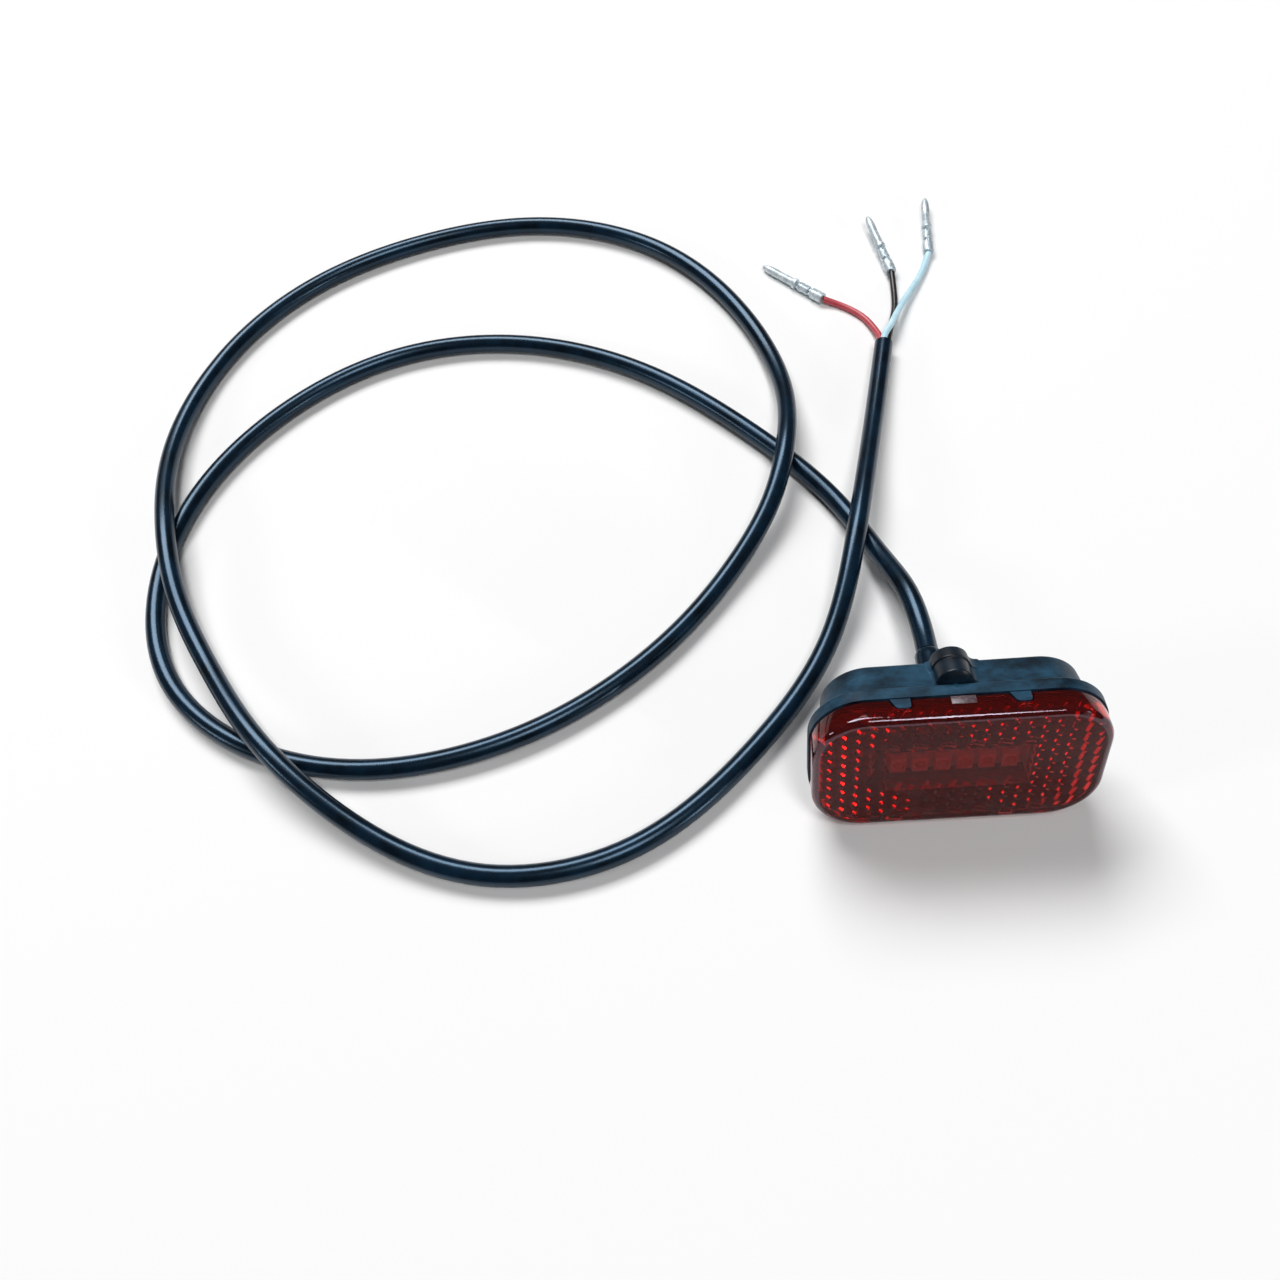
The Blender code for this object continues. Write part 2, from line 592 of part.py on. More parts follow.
def make_components(package, resistor, black):
    """LEDs and resistors on the board's front, and the rectifier on its back."""
    far = BOARD_FRONT - FIT_GAP
    for index in range(LED_COUNT):
        x = (index - (LED_COUNT - 1) / 2) * LED_PITCH
        bm = chip(LED_WIDTH, LED_LENGTH, far - LED_HEIGHT, far, x, -LED_DROP, 0.15 * MM)
        led = object_from(bm, "led")
        well = cylinder_along_y(LED_WIDTH * 0.39, far - LED_HEIGHT - OVERLAP,
                                far - LED_HEIGHT * 0.6, x, -LED_DROP, 20)
        boolean(led, as_cutter(object_from(well, "well"), "well"), "DIFFERENCE")
        as_part(led, f"led_{index + 1}", package, STAND)
    for index in range(RESISTOR_COUNT):
        x = (index - (RESISTOR_COUNT - 1) / 2) * RESISTOR_PITCH
        bm = chip(RESISTOR_LENGTH, RESISTOR_WIDTH, far - RESISTOR_HEIGHT, far, x,
                  RESISTOR_RISE, 0.1 * MM)
        as_part(object_from(bm, "resistor"), f"resistor_{index + 1}", resistor, STAND)
    near = BOARD_BACK + FIT_GAP
    bm = chip(RECTIFIER_LENGTH, RECTIFIER_WIDTH, near, near + RECTIFIER_HEIGHT, BOSS_OFFSET,
              -RECTIFIER_DROP, 0.2 * MM)
    as_part(object_from(bm, "rectifier"), "rectifier", black, STAND)


def make_screw(side, finish):
    """A self-tapping pan-head screw through the board into its post."""
    head, shank = SCREW_HEAD / 2, SCREW_SHANK / 2
    rest = BOARD_FRONT - FIT_GAP
    tip = REAR_INNER - OVERLAP - FIT_GAP
    length = tip - rest
    profile = [(0, SCREW_HEAD_HEIGHT), (head * 0.55, SCREW_HEAD_HEIGHT * 0.94),
               (head * 0.9, SCREW_HEAD_HEIGHT * 0.6), (head, SCREW_HEAD_HEIGHT * 0.2), (head, 0),
               (shank, 0), (shank, shank - length), (shank * 0.3, -length), (0, -length)]
    screw = turned(profile, "screw", 20)
    pointed(screw, (side * SCREW_SPACING / 2, rest, 0), (0, -1, 0))
    slot = box((side * SCREW_SPACING / 2 - 0.3 * MM, rest - 2 * SCREW_HEAD_HEIGHT, -head),
               (side * SCREW_SPACING / 2 + 0.3 * MM, rest - 0.6 * SCREW_HEAD_HEIGHT, head))
    boolean(screw, as_cutter(object_from(slot, "slot"), "slot"), "DIFFERENCE")
    return as_part(screw, "board_screw_left" if side < 0 else "board_screw_right", finish, STAND)


def make_insert(side, finish):
    """A blind brass insert, flush with the back, with two ring grooves that hold it."""
    outer, bore = INSERT_DIAMETER / 2, INSERT_BORE / 2
    groove = outer - 0.35 * MM
    floor = 0.8 * MM
    rings = [0.0, 0.28, 0.36, 0.60, 0.68, 1.0]
    profile = [(0, 0)]
    for index, ring in enumerate(rings):
        radius = outer if index in (0, 1, 4, 5) else groove
        profile.append((radius, -ring * INSERT_LENGTH))
    profile = profile[1:]
    wall = [(bore, -INSERT_LENGTH), (bore, -floor), (0, -floor)]
    insert = turned([(0, 0), *profile, *wall], "insert", 28)
    pointed(insert, (side * INSERT_SPACING / 2, REAR_FACE - INSERT_LENGTH, 0), (0, -1, 0))
    return as_part(insert, "insert_nut_left" if side < 0 else "insert_nut_right", finish, STAND)


def make_boot(finish):
    """Moulded strain relief: a flange inside, a neck in the rear wall, a base let into the
    back and a tapered tail."""
    base, tip, neck = BOOT_BASE / 2, BOOT_TIP / 2, BOOT_NECK / 2
    inner = REAR_INNER - FIT_GAP - BOOT_FLANGE
    outer_face = REAR_FACE - BOOT_SEAT + FIT_GAP
    tail = REAR_FACE + BOOT_LENGTH
    profile = [(0, tail), (tip - 0.4 * MM, tail), (tip, tail - 0.5 * MM)]
    for step in range(1, 8):
        share = step / 8
        swell = share**1.7
        profile.append((tip + (base - tip) * swell, tail - share * (tail - outer_face)))
    profile += [(base, outer_face + 0.6 * MM), (base - 0.2 * MM, outer_face), (neck, outer_face),
                (neck, inner + BOOT_FLANGE), (base, inner + BOOT_FLANGE), (base, inner),
                (0, inner)]
    boot = turned(profile, "strain_relief", 28)
    pointed(boot, (BOSS_OFFSET, 0, 0), (0, 1, 0))
    return as_part(boot, "strain_relief", finish, STAND)


def make_inner_leads(finishes):
    """The three cores inside: from the boot, spread apart, to the board's back."""
    start = REAR_INNER - 2 * FIT_GAP - BOOT_FLANGE
    end = BOARD_BACK + FIT_GAP
    middle = (start + end) / 2
    pads = {"red": (-4.2 * MM, 5.4 * MM), "black": (4.2 * MM, 5.4 * MM), "white": (0.0, 7.0 * MM)}
    for name, (pad_x, pad_z) in pads.items():
        angle = math.radians(CORE_ROUTES[name][0])
        x, z = CORE_CIRCLE * math.cos(angle), CORE_CIRCLE * math.sin(angle)
        points = [(x, start, z), (x, start - 0.5 * MM, z),
                  ((x + pad_x) / 2, middle, (z + pad_z) / 2),
                  (pad_x, end + 0.6 * MM, pad_z), (pad_x, end, pad_z)]
        points = [(BOSS_OFFSET + px, py, pz) for px, py, pz in points]
        lead = tube(smooth_path(points, 12), CORE_DIAMETER / 2, f"lead_{name}")
        as_part(lead, f"lead_{name}", finishes[name], STAND)


# ---------------------------------------------------------------- lead and pins
def make_jacket(finish):
    """The lead's jacket, from the boot's end over its route. Returns its last two points."""
    place = STAND.matrix_world
    mouth = place @ Vector((BOSS_OFFSET, REAR_FACE + BOOT_LENGTH + FIT_GAP, 0))
    straight = place @ Vector((BOSS_OFFSET, REAR_FACE + BOOT_LENGTH + 6 * MM, 0))
    route = [Vector((x * MM, y * MM, CORD_RADIUS + lift * MM)) for x, y, lift in CORD_ROUTE]
    points = smooth_path([mouth, straight, *route], 80)
    for point in points:
        point.z = max(point.z, CORD_RADIUS)
    as_part(tube(points, CORD_RADIUS, "cord_jacket"), "cord_jacket", finish)
    return points[-2], points[-1]


def make_core(name, before, end, finish):
    """One core beyond the jacket. Returns where its crimp starts and the pin's direction."""
    angle, route, aim = CORE_ROUTES[name]
    ahead = (end - before).normalized()
    across = ahead.cross(Vector((0, 0, 1))).normalized()
    upward = across.cross(ahead)
    turn = math.radians(angle)
    offset = CORE_CIRCLE * (across * math.cos(turn) + upward * math.sin(turn))
    radius = CORE_DIAMETER / 2
    start = end + offset + ahead * FIT_GAP
    path = [Vector((x * MM, y * MM, radius + lift * MM)) for x, y, lift in route]
    points = smooth_path([start, start + ahead * 2 * MM, *path], 14)
    for point in points:
        point.z = max(point.z, radius)
    as_part(tube(points, radius, f"conductor_{name}"), f"conductor_{name}", finish)
    target = Vector((aim[0] * MM, aim[1] * MM, PIN_DIAMETER / 2 + aim[2] * MM))
    return points[-1], (target - points[-1]).normalized()


def make_pin(name, start, direction, finish):
    """A round crimp pin: insulation crimp, waist, wire crimp, then the pin with its bullet tip."""
    crimp, pin = CRIMP_DIAMETER / 2, PIN_DIAMETER / 2
    share = PIN_LENGTH / 19
    profile = [(0, PIN_LENGTH)]
    for step in range(1, 5):
        angle = math.radians(22.5 * step)
        profile.append((pin * math.sin(angle), PIN_LENGTH - 1.3 * pin * (1 - math.cos(angle))))
    profile += [(pin, 9.4 * MM * share), (crimp * 0.98, 8.9 * MM * share),
                (crimp * 0.98, 8.2 * MM * share), (pin * 0.8, 7.7 * MM * share),
                (crimp * 0.86, 7.1 * MM * share), (crimp * 0.86, 4.4 * MM * share),
                (pin * 0.72, 3.9 * MM * share), (crimp, 3.3 * MM * share), (crimp, 0), (0, 0)]
    obj = turned(profile, "pin", 20)
    pointed(obj, start + direction * FIT_GAP, direction)
    return as_part(obj, f"pin_{name}", finish)


# ---------------------------------------------------------------- assembly
def stand_on_surface():
    """Leans the lamp back onto its two lower rear edges, centred over the origin."""
    STAND.rotation_euler = (-LEAN, 0, 0)
    bpy.context.view_layer.update()
    graph = bpy.context.evaluated_depsgraph_get()
    corners = []
    for obj in PARTS.objects:
        if obj.parent == STAND and obj.name != "strain_relief":
            seen = obj.evaluated_get(graph)
            mesh = seen.to_mesh()
            corners += [seen.matrix_world @ vert.co for vert in mesh.vertices]
            seen.to_mesh_clear()
    low_y, high_y = min(c.y for c in corners), max(c.y for c in corners)
    STAND.location = (0, -(low_y + high_y) / 2, -min(c.z for c in corners))
    bpy.context.view_layer.update()


def main():
    red_lens = material("red_polycarbonate", (0.25, 0.004, 0.006), 0.08)
    black_abs = material("black_abs", (0.012, 0.016, 0.02), 0.42)
    black_pvc = material("black_pvc", (0.010, 0.013, 0.018), 0.38)
    rubber = material("black_rubber", (0.015, 0.015, 0.015), 0.7)
    mask = material("white_solder_mask", (0.72, 0.72, 0.68), 0.35)
    package = material("led_package", (0.8, 0.76, 0.6), 0.3)
    ceramic = material("resistor_glaze", (0.02, 0.02, 0.02), 0.4)
    brass = material("brass", (0.60, 0.42, 0.16), 0.35, 1.0)
    steel = material("zinc_plated_steel", (0.55, 0.55, 0.56), 0.35, 1.0)
    tin = material("tinned_brass", (0.62, 0.61, 0.58), 0.28, 1.0)
    cores = {"red": material("red_pvc", (0.50, 0.05, 0.04), 0.4),
             "black": material("black_core_pvc", (0.012, 0.012, 0.013), 0.4),
             "white": material("pale_pvc", (0.62, 0.72, 0.74), 0.4)}

    make_lens(red_lens)
    make_housing(black_abs)
    make_seal(rubber)
    make_shade(black_abs)
    make_board(mask)
    make_components(package, ceramic, ceramic)
    for side in (-1, 1):
        make_screw(side, steel)
        make_insert(side, brass)
    make_boot(black_pvc)
    make_inner_leads(cores)
    stand_on_surface()
    before, end = make_jacket(black_pvc)
    for name in CORE_ROUTES:
        start, direction = make_core(name, before, end, cores[name])
        make_pin(name, start, direction, tin)


clear_scene()
PARTS = new_collection("tail_lamp")
CUTTERS = new_collection("cutters")
STAND = bpy.data.objects.new("stand", None)
bpy.context.scene.collection.objects.link(STAND)
main()
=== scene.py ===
"""Finished look of a small red trailer tail lamp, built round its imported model.

The lamp's pieces are modelled upright, in the lamp's own axes, and then laid on the surface
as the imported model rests:
    X runs along the lamp, +Y from the lens rim plane to the back, +Z up the lens face.
    The lens rim plane is Y = 0, and the middle of the lens is X = Z = 0.
"""

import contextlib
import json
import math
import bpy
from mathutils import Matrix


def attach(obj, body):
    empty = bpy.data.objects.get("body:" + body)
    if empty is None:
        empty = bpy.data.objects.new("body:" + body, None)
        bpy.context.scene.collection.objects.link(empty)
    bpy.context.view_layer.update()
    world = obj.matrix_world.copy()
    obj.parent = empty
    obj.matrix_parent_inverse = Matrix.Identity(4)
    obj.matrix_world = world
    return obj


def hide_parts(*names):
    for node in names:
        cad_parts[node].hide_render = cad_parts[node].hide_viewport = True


bl_info = {
    "name": "Trailer Tail Lamp",
    "version": (1, 0, 0),
    "blender": (4, 5, 0),
    "location": "3D View > Sidebar > Tail Lamp",
    "description": "Builds a red reflex tail lamp with its lead and crimped pins",
    "category": "Object",
}

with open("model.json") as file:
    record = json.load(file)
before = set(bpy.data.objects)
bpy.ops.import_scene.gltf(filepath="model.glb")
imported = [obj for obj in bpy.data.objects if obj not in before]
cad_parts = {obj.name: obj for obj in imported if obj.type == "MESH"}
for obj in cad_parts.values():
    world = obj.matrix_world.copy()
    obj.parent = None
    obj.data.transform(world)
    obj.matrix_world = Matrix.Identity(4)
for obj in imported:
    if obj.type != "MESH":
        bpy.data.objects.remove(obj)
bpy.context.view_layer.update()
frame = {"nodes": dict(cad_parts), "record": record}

import bmesh
import bpy
from mathutils import Matrix, Quaternion, Vector

MM = 0.001

# ---------------------------------------------------------------- the lamp's own axes
REAR_FACE = 9.2 * MM          # the back, behind the lens rim plane
MOUNT_DROP = 8.5 * MM         # the mount's point on it, below the middle of the lens
BACK = next(m for m in frame["record"]["mounts"] if m["name"] == "back_face")
LEAN = math.atan2(-BACK["axis"][2], BACK["axis"][1])
TILT = Matrix.Rotation(-LEAN, 4, "X")
CENTRE = Vector(BACK["pos_m"]) - TILT @ Vector((0, REAR_FACE, -MOUNT_DROP))
LAMP = Matrix.Translation(CENTRE) @ TILT


def upright_box(node):
    """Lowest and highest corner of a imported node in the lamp's own upright axes."""
    back = LAMP.inverted()
    points = [back @ vert.co for vert in frame["nodes"][node].data.vertices]
    low = Vector([min(p[axis] for p in points) for axis in range(3)])
    high = Vector([max(p[axis] for p in points) for axis in range(3)])
    return low, high


# ---------------------------------------------------------------- sizes
GAP = 0.3 * MM                # between pieces that touch
REACH = 1 * MM                # by which cutters and joined shapes run past a face
CLOSE = 1e-6                  # places nearer than this are the same
LENS_LOW, LENS_HIGH = upright_box("lens_cover")
LENS_HIGH.z = -LENS_LOW.z     # its walls, without the gate pad on top
SHADE_LOW, SHADE_HIGH = upright_box("inner_shade")
BOARD_LOW, BOARD_HIGH = upright_box("circuit_board")
BOOT_LOW = upright_box("strain_relief")[0]

LENS_CORNER = 9.5 * MM
LENS_WALL = 1.4 * MM
LENS_FRONT = 1.0 * MM         # plate under the prisms
RIM_EDGE = 0.25 * MM          # rounding of the lens's rear rim
PRISM_COLUMN = 2.4 * MM
PRISM_ROW = 2.5 * MM
PRISM_DEPTH = PRISM_COLUMN * 2 / 3 * math.sqrt(2)
WINDOW_WIDTH = 25.0 * MM
WINDOW_LOW = -4.9 * MM
WINDOW_HIGH = 5.7 * MM
TAB_WIDTH = 2.5 * MM
TAB_LENGTH = 2.1 * MM
TAB_ROUND = 0.6 * MM
TAB_SPACING = 20.0 * MM
TAB_SLANT = 1.0 * MM          # how far the left flank leans out along the tab
GATE_WIDTH = 4.2 * MM         # pad left by the moulding gate, at the rim
GATE_LENGTH = 2.0 * MM
GATE_RISE = 0.12 * MM
SEAL_WIDTH = 0.8 * MM

FLANGE_MARGIN = 0.2 * MM      # flange past the lens, all round
FLANGE_THICKNESS = 2.5 * MM
BODY_END_STEP = 2.0 * MM      # from the lens's ends in to the body's
BODY_TOP_STEP = 0.6 * MM      # and from its top and bottom
BODY_CORNER = 9.0 * MM
BODY_DRAFT = 0.7 * MM
LIP_HEIGHT = 0.5 * MM
LIP_STEP = 2.8 * MM           # from the lens's outside in to the lip's
LIP_WALL = 0.9 * MM
REAR_WALL = 1.6 * MM
REAR_INNER = REAR_FACE - REAR_WALL
BOSS_RADIUS = 3.3 * MM
BOSS_OFFSET = -0.7 * MM
BOSS_RISE = 0.55 * MM
BOSS_FILLET_LEFT = 0.9 * MM
BOSS_FILLET_RIGHT = 2.2 * MM
BOSS_NOSE = 0.9 * MM          # length of its rounded front end
BOSS_COLLAR = 2.4 * MM        # length of the wider collar at its rear
BOSS_WAIST = 0.93             # width of the boss in front of the collar, as a share
BOSS_END_STEP = 0.06 * MM     # its rear end, in front of the back

SHADE_PLATE = 0.6 * MM        # screen behind the prisms
SHADE_WALL = 0.8 * MM         # light box round the window
BOARD_CORNER = 5.5 * MM
POST_RADIUS = 2.3 * MM
SCREW_HOLE = 1.2 * MM         # radius, in the posts and the board
SCREW_SPACING = BOARD_HIGH.x - BOARD_LOW.x - 5.8 * MM
SCREW_HEAD = 3.4 * MM
SCREW_HEAD_HEIGHT = 1.1 * MM
SCREW_SHANK = 1.8 * MM
INSERT_SPACING = 22.0 * MM
INSERT_LENGTH = 4.4 * MM
INSERT_DIAMETER = 5.4 * MM
INSERT_BORE = 3.3 * MM
POCKET_RADIUS = INSERT_DIAMETER / 2 + GAP
POCKET_WALL = 1.0 * MM

CORD_DIAMETER = 4.2 * MM
CORE_DIAMETER = 1.5 * MM
CORE_CIRCLE = 1.04 * MM       # core centres from the jacket's centre
PIN_LENGTH = 19.0 * MM
PIN_DIAMETER = 2.0 * MM
CRIMP_DIAMETER = 2.6 * MM
BOOT_BASE = 4.0 * MM          # its radius at the back
BOOT_NECK = 3.0 * MM          # through the rear wall
BOOT_TIP = 2.6 * MM           # and near its end
BOOT_SEAT = 0.8 * MM          # how deep its base is let into the back
BOOT_TAIL = 14.0 * MM

LED_COUNT = 6
LED_PITCH = 3.9 * MM
LED_DROP = 2.4 * MM           # LED row below the middle of the lens
LED_SIZE = Vector((2.8, 1.4, 3.5)) * MM
RESISTOR_COUNT = 3
RESISTOR_PITCH = 7.8 * MM
RESISTOR_RISE = 2.2 * MM
RESISTOR_SIZE = Vector((3.2, 0.6, 1.6)) * MM
RECTIFIER_DROP = 6.4 * MM
RECTIFIER_SIZE = Vector((4.6, 1.1, 2.6)) * MM
SOLDER_PADS = {"red": (-4.2, 5.4), "black": (4.2, 5.4), "white": (0.0, 7.0)}   # in millimetres

# The lead's route over the surface, in millimetres: X, Y and how far it is lifted. It passes
# over its own first run four times.
CORD_ROUTE = [
    (-2, 36, 5.4), (-6, 49, 1.6), (-14, 66, 0.1), (-31, 87, 0), (-54, 107, 0),
    (-83, 119, 0), (-113, 118, 0), (-138, 104, 0), (-155, 82, 0), (-161, 56, 0),
    (-154, 30, 0), (-133, 12.5, 0), (-106, 7, 0), (-76, 14, 0), (-52, 30, 0),
    (-37, 47, 0.5), (-27, 63, 3), (-22.5, 78, 4.6), (-21.5, 98, 1.4), (-29, 123, 0),
    (-48, 148, 0), (-77, 161, 0), (-108, 159, 0), (-138, 145, 0), (-158, 120, 0),
    (-164, 92, 1.8), (-160, 67, 4.6), (-154, 48, 3.8), (-144, 30, 3.3), (-130, 11, 4.6),
    (-110, -6, 1.6), (-86, -16, 0), (-58, -12, 0), (-34, 7, 0), (-18, 29, 1.2),
    (-10, 53, 5), (-3.5, 80, 2.2), (3.1, 109, 0.3),
]
# Each core beyond the jacket: its place among the cores, as an angle in degrees seen from the
# jacket's end with 90 on top, its route to the crimp, and the point its pin aims at.
CORE_ROUTES = {
    "red": (210, [(1.8, 115.3, 0.5), (0, 119.4, 0.1), (-3, 122.8, 0), (-6.2, 125.1, 0.1),
                  (-9, 126.4, 0.6)], (-21.6, 139, 0.1)),
    "black": (330, [(6.2, 117.2, 0.1), (7.5, 122, 0), (8.1, 127.8, 0.1), (8.3, 133.6, 0.6)],
              (4.6, 152, 2.0)),
    "white": (90, [(5.1, 113.7, 2.5), (7, 117.6, 2.0), (11.2, 125.6, 0.8), (15.5, 133.2, 0.2),
                   (18.1, 139.5, 0.4)], (20, 160, 1.0)),
}


# ---------------------------------------------------------------- modelling helpers
def only(obj):
    """Makes this the one selected object."""
    bpy.ops.object.select_all(action="DESELECT")
    obj.select_set(True)
    bpy.context.view_layer.objects.active = obj


@contextlib.contextmanager
def edit_mode(obj, kind="FACE", action="DESELECT"):
    """Edit mode on one object, with nothing selected at first, or all of it with SELECT."""
    only(obj)
    bpy.ops.object.mode_set(mode="EDIT")
    bpy.ops.mesh.select_mode(type=kind)
    bpy.ops.mesh.select_all(action=action)
    yield
    bpy.ops.object.mode_set(mode="OBJECT")


def pick(obj, kind, test):
    """In edit mode, selects just the faces, edges or verts that pass the test."""
    bpy.ops.mesh.select_all(action="DESELECT")
    mesh = bmesh.from_edit_mesh(obj.data)
    for item in getattr(mesh, kind):
        if test(item):
            item.select_set(True)
    bmesh.update_edit_mesh(obj.data)


def extrude(*move):
    """In edit mode, extrudes what is selected by this much."""
    bpy.ops.mesh.extrude_region_move(TRANSFORM_OT_translate={"value": move})


def add_shape(primitive, name, **settings):
    """Adds a primitive by its operator, names it and puts its place into its mesh."""
    bpy.ops.object.select_all(action="DESELECT")
    primitive(**settings)
    obj = bpy.context.object
    obj.name = obj.data.name = name
    bpy.ops.object.transform_apply(location=True, rotation=True, scale=True)
    return obj


def add_block(name, low, high):
    """A block between two corners."""
    low, high = Vector(low), Vector(high)
    return add_shape(bpy.ops.mesh.primitive_cube_add, name, size=1, location=(low + high) / 2,
                     scale=high - low)


def add_rod(name, radius, near, far, x):
    """A cylinder from Y = near to Y = far at the lamp's mid height."""
    return add_shape(bpy.ops.mesh.primitive_cylinder_add, name, vertices=48, radius=radius,
                     depth=far - near, location=(x, (near + far) / 2, 0),
                     rotation=(math.radians(90), 0, 0))


def add_slab(name, low, high, corner, segments=14):
    """A block whose four edges along Y are rounded."""
    slab = add_block(name, low, high)
    with edit_mode(slab, "EDGE"):
        pick(slab, "edges", lambda e: abs(e.verts[0].co.y - e.verts[1].co.y) > GAP)
        bpy.ops.mesh.bevel(offset=corner, segments=segments, affect="EDGES")
    return slab


def rounding(radius, count=5, hollow=False):
    """Steps (in, out) along a quarter circle from a wall to an end face.

    A hollow one goes from a flat face up a wall instead.
    """
    points = []
    for index in range(count + 1):
        turn = math.radians(90) * index / count
        short, long = radius * (1 - math.cos(turn)), radius * math.sin(turn)
        points.append((long, short) if hollow else (short, long))
    return [(b[0] - a[0], b[1] - a[1]) for a, b in zip(points, points[1:])]


def step_end(obj, side, steps):
    """Insets the end face on this side of Y and pushes it out, once for each (in, out) step."""
    with edit_mode(obj):
        end = max if side > 0 else min
        place = end(p.center.y for p in obj.data.polygons)
        pick(obj, "faces", lambda f: abs(f.calc_center_median().y - place) < CLOSE
             and f.normal.y * side > 0.9)
        for inward, outward in steps:
            bpy.ops.mesh.inset(thickness=inward, depth=outward, use_even_offset=True)


def apply_modifiers(obj):
    """Applies a piece's modifiers in their order."""
    only(obj)
    for modifier in list(obj.modifiers):
        bpy.ops.object.modifier_apply(modifier=modifier.name)


def combine(obj, operation, *others):
    """Joins helper shapes to a piece, or cuts them from it, and removes them."""
    for other in others:
        step = obj.modifiers.new(other.name, "BOOLEAN")
        step.operation = operation
        step.solver = "EXACT"
        step.object = other
        apply_modifiers(obj)
        bpy.data.objects.remove(other, do_unlink=True)
    return obj


def join(obj, *others):
    """Makes several shapes one piece, without cutting them."""
    only(obj)
    for other in others:
        other.select_set(True)
    bpy.ops.object.join()
    return obj


def tidy_mesh(obj, merge=CLOSE):
    """Merges doubled points and turns all faces outwards."""
    with edit_mode(obj, action="SELECT"):
        bpy.ops.mesh.remove_doubles(threshold=merge)
        bpy.ops.mesh.normals_make_consistent(inside=False)


def smooth(obj, angle=30, weighted=False):
    """Smooth shading over edges blunter than the angle; weighted lets large faces stay flat."""
    only(obj)
    bpy.ops.object.shade_smooth_by_angle(angle=math.radians(angle))
    if weighted:
        step = obj.modifiers.new("Weighted", "WEIGHTED_NORMAL")
        step.keep_sharp = True
        apply_modifiers(obj)


def soften(obj, width, segments=2):
    """Eases the sharp edges of a piece."""
    bevel = obj.modifiers.new("Ease", "BEVEL")
    bevel.width = width
    bevel.segments = segments
    bevel.limit_method = "ANGLE"
    bevel.angle_limit = math.radians(35)
    apply_modifiers(obj)


def settle(obj):
    """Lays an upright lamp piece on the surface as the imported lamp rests."""
    obj.data.transform(LAMP)


def turned(name, profile, vertices=48):
    """A solid turned about Z: a disc pushed along and resized for each (radius, height)."""
    radius, height = profile[0]
    obj = add_shape(bpy.ops.mesh.primitive_circle_add, name, vertices=vertices, radius=radius,
                    fill_type="NGON", location=(0, 0, height))
    with edit_mode(obj, action="SELECT"):
        for wider, higher in profile[1:]:
            extrude(0, 0, higher - height)
            share = wider / radius
            bpy.ops.transform.resize(value=(share, share, 1), center_override=(0, 0, higher))
            radius, height = wider, higher
    tidy_mesh(obj)
    return obj


def aimed(start, direction):
    """The matrix that takes a solid turned about Z to start, along direction."""
    turn = Vector(direction).to_track_quat("Z", "Y")
    return Matrix.Translation(Vector(start)) @ turn.to_matrix().to_4x4()


def declare(obj, node):
    """Puts a piece on the lamp's one body and hides the imported node it stands for."""
    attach(obj, "root")
    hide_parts(node)


def finish_piece(obj, slot, node, *materials):
    """Gives a finished piece its materials and the node it stands for; its slot argument is not
    used.
    """
    obj.data.materials.clear()
    for made in materials:
        obj.data.materials.append(made)
    declare(obj, node)


def paint(obj, index, test=lambda face: True):
    """Gives the faces that pass the test the piece's material of this index."""
    for face in obj.data.polygons:
        if test(face):
            face.material_index = index


def join_painted(materials, *groups):
    """Joins shapes into one piece, in which each group has the material of the same place."""
    shapes = []
    for index, group in enumerate(groups):
        for shape in group:
            for material in materials:
                shape.data.materials.append(material)
            paint(shape, index)
            shapes.append(shape)
    smooth(join(*shapes))
    return shapes[0]


# ---------------------------------------------------------------- material helpers
def linear(hex_code):
    """A colour as shaders take it, from an sRGB hex value."""
    channels = [int(hex_code[i:i + 2], 16) / 255 for i in (1, 3, 5)]
    return (*[c / 12.92 if c <= 0.04045 else ((c + 0.055) / 1.055) ** 2.4 for c in channels], 1)


def add_node(tree, kind, inputs=None, **settings):
    """Adds a shader node with its settings, and sets or links its inputs by name."""
    made = tree.nodes.new("ShaderNode" + kind)
    for name, value in settings.items():
        setattr(made, name, value)
    for name, value in (inputs or {}).items():
        if isinstance(value, bpy.types.NodeSocket):
            tree.links.new(value, made.inputs[name])
        else:
            made.inputs[name].default_value = value
    return made


def new_material(name, colour, **constants):
    """A Principled material with constants on its sockets; returns it, its tree and shader."""
    made = bpy.data.materials.new(name)
    made.use_nodes = True
    made.diffuse_color = linear(colour)
    shader = made.node_tree.nodes["Principled BSDF"]
    shader.inputs["Base Color"].default_value = linear(colour)
    for socket, value in constants.items():
        shader.inputs[socket.replace("_", " ")].default_value = value
    return made, made.node_tree, shader


def weathered(name, dark, light, patch, grain, relief, stretch=1.0, spread=(0.35, 0.7),
              **constants):
    """A Principled material of cloudy patches between two colours under a fine grain.

    patch and grain are the widths of the two, in millimetres, and relief is the grain's
    strength. A real grain is finer: it is drawn as coarse as it needs to show. The patches
    are stretched this many times along X, and spread is where the two colours begin.
    """
    made, tree, shader = new_material(name, light, **constants)
    place = add_node(tree, "TexCoord").outputs["Object"]
    drawn = add_node(tree, "Mapping", {"Vector": place, "Scale": (1 / stretch, 1, 1)})
    cloud = add_node(tree, "TexNoise", {"Vector": drawn.outputs["Vector"],
                                        "Scale": 1 / (patch * MM), "Detail": 6.0, "Roughness": 0.65})
    tone = add_node(tree, "ValToRGB", {"Fac": cloud.outputs["Fac"]})
    for stop, position, colour in zip(tone.color_ramp.elements, spread, (dark, light)):
        stop.position = position
        stop.color = linear(colour)
    tree.links.new(tone.outputs["Color"], shader.inputs["Base Color"])
    speck = add_node(tree, "TexNoise", {"Vector": place, "Scale": 1 / (grain * MM), "Detail": 2.0})
    bump = add_node(tree, "Bump", {"Height": speck.outputs["Fac"], "Strength": relief,
                                   "Distance": 0.05 * MM})
    tree.links.new(bump.outputs["Normal"], shader.inputs["Normal"])
    return made


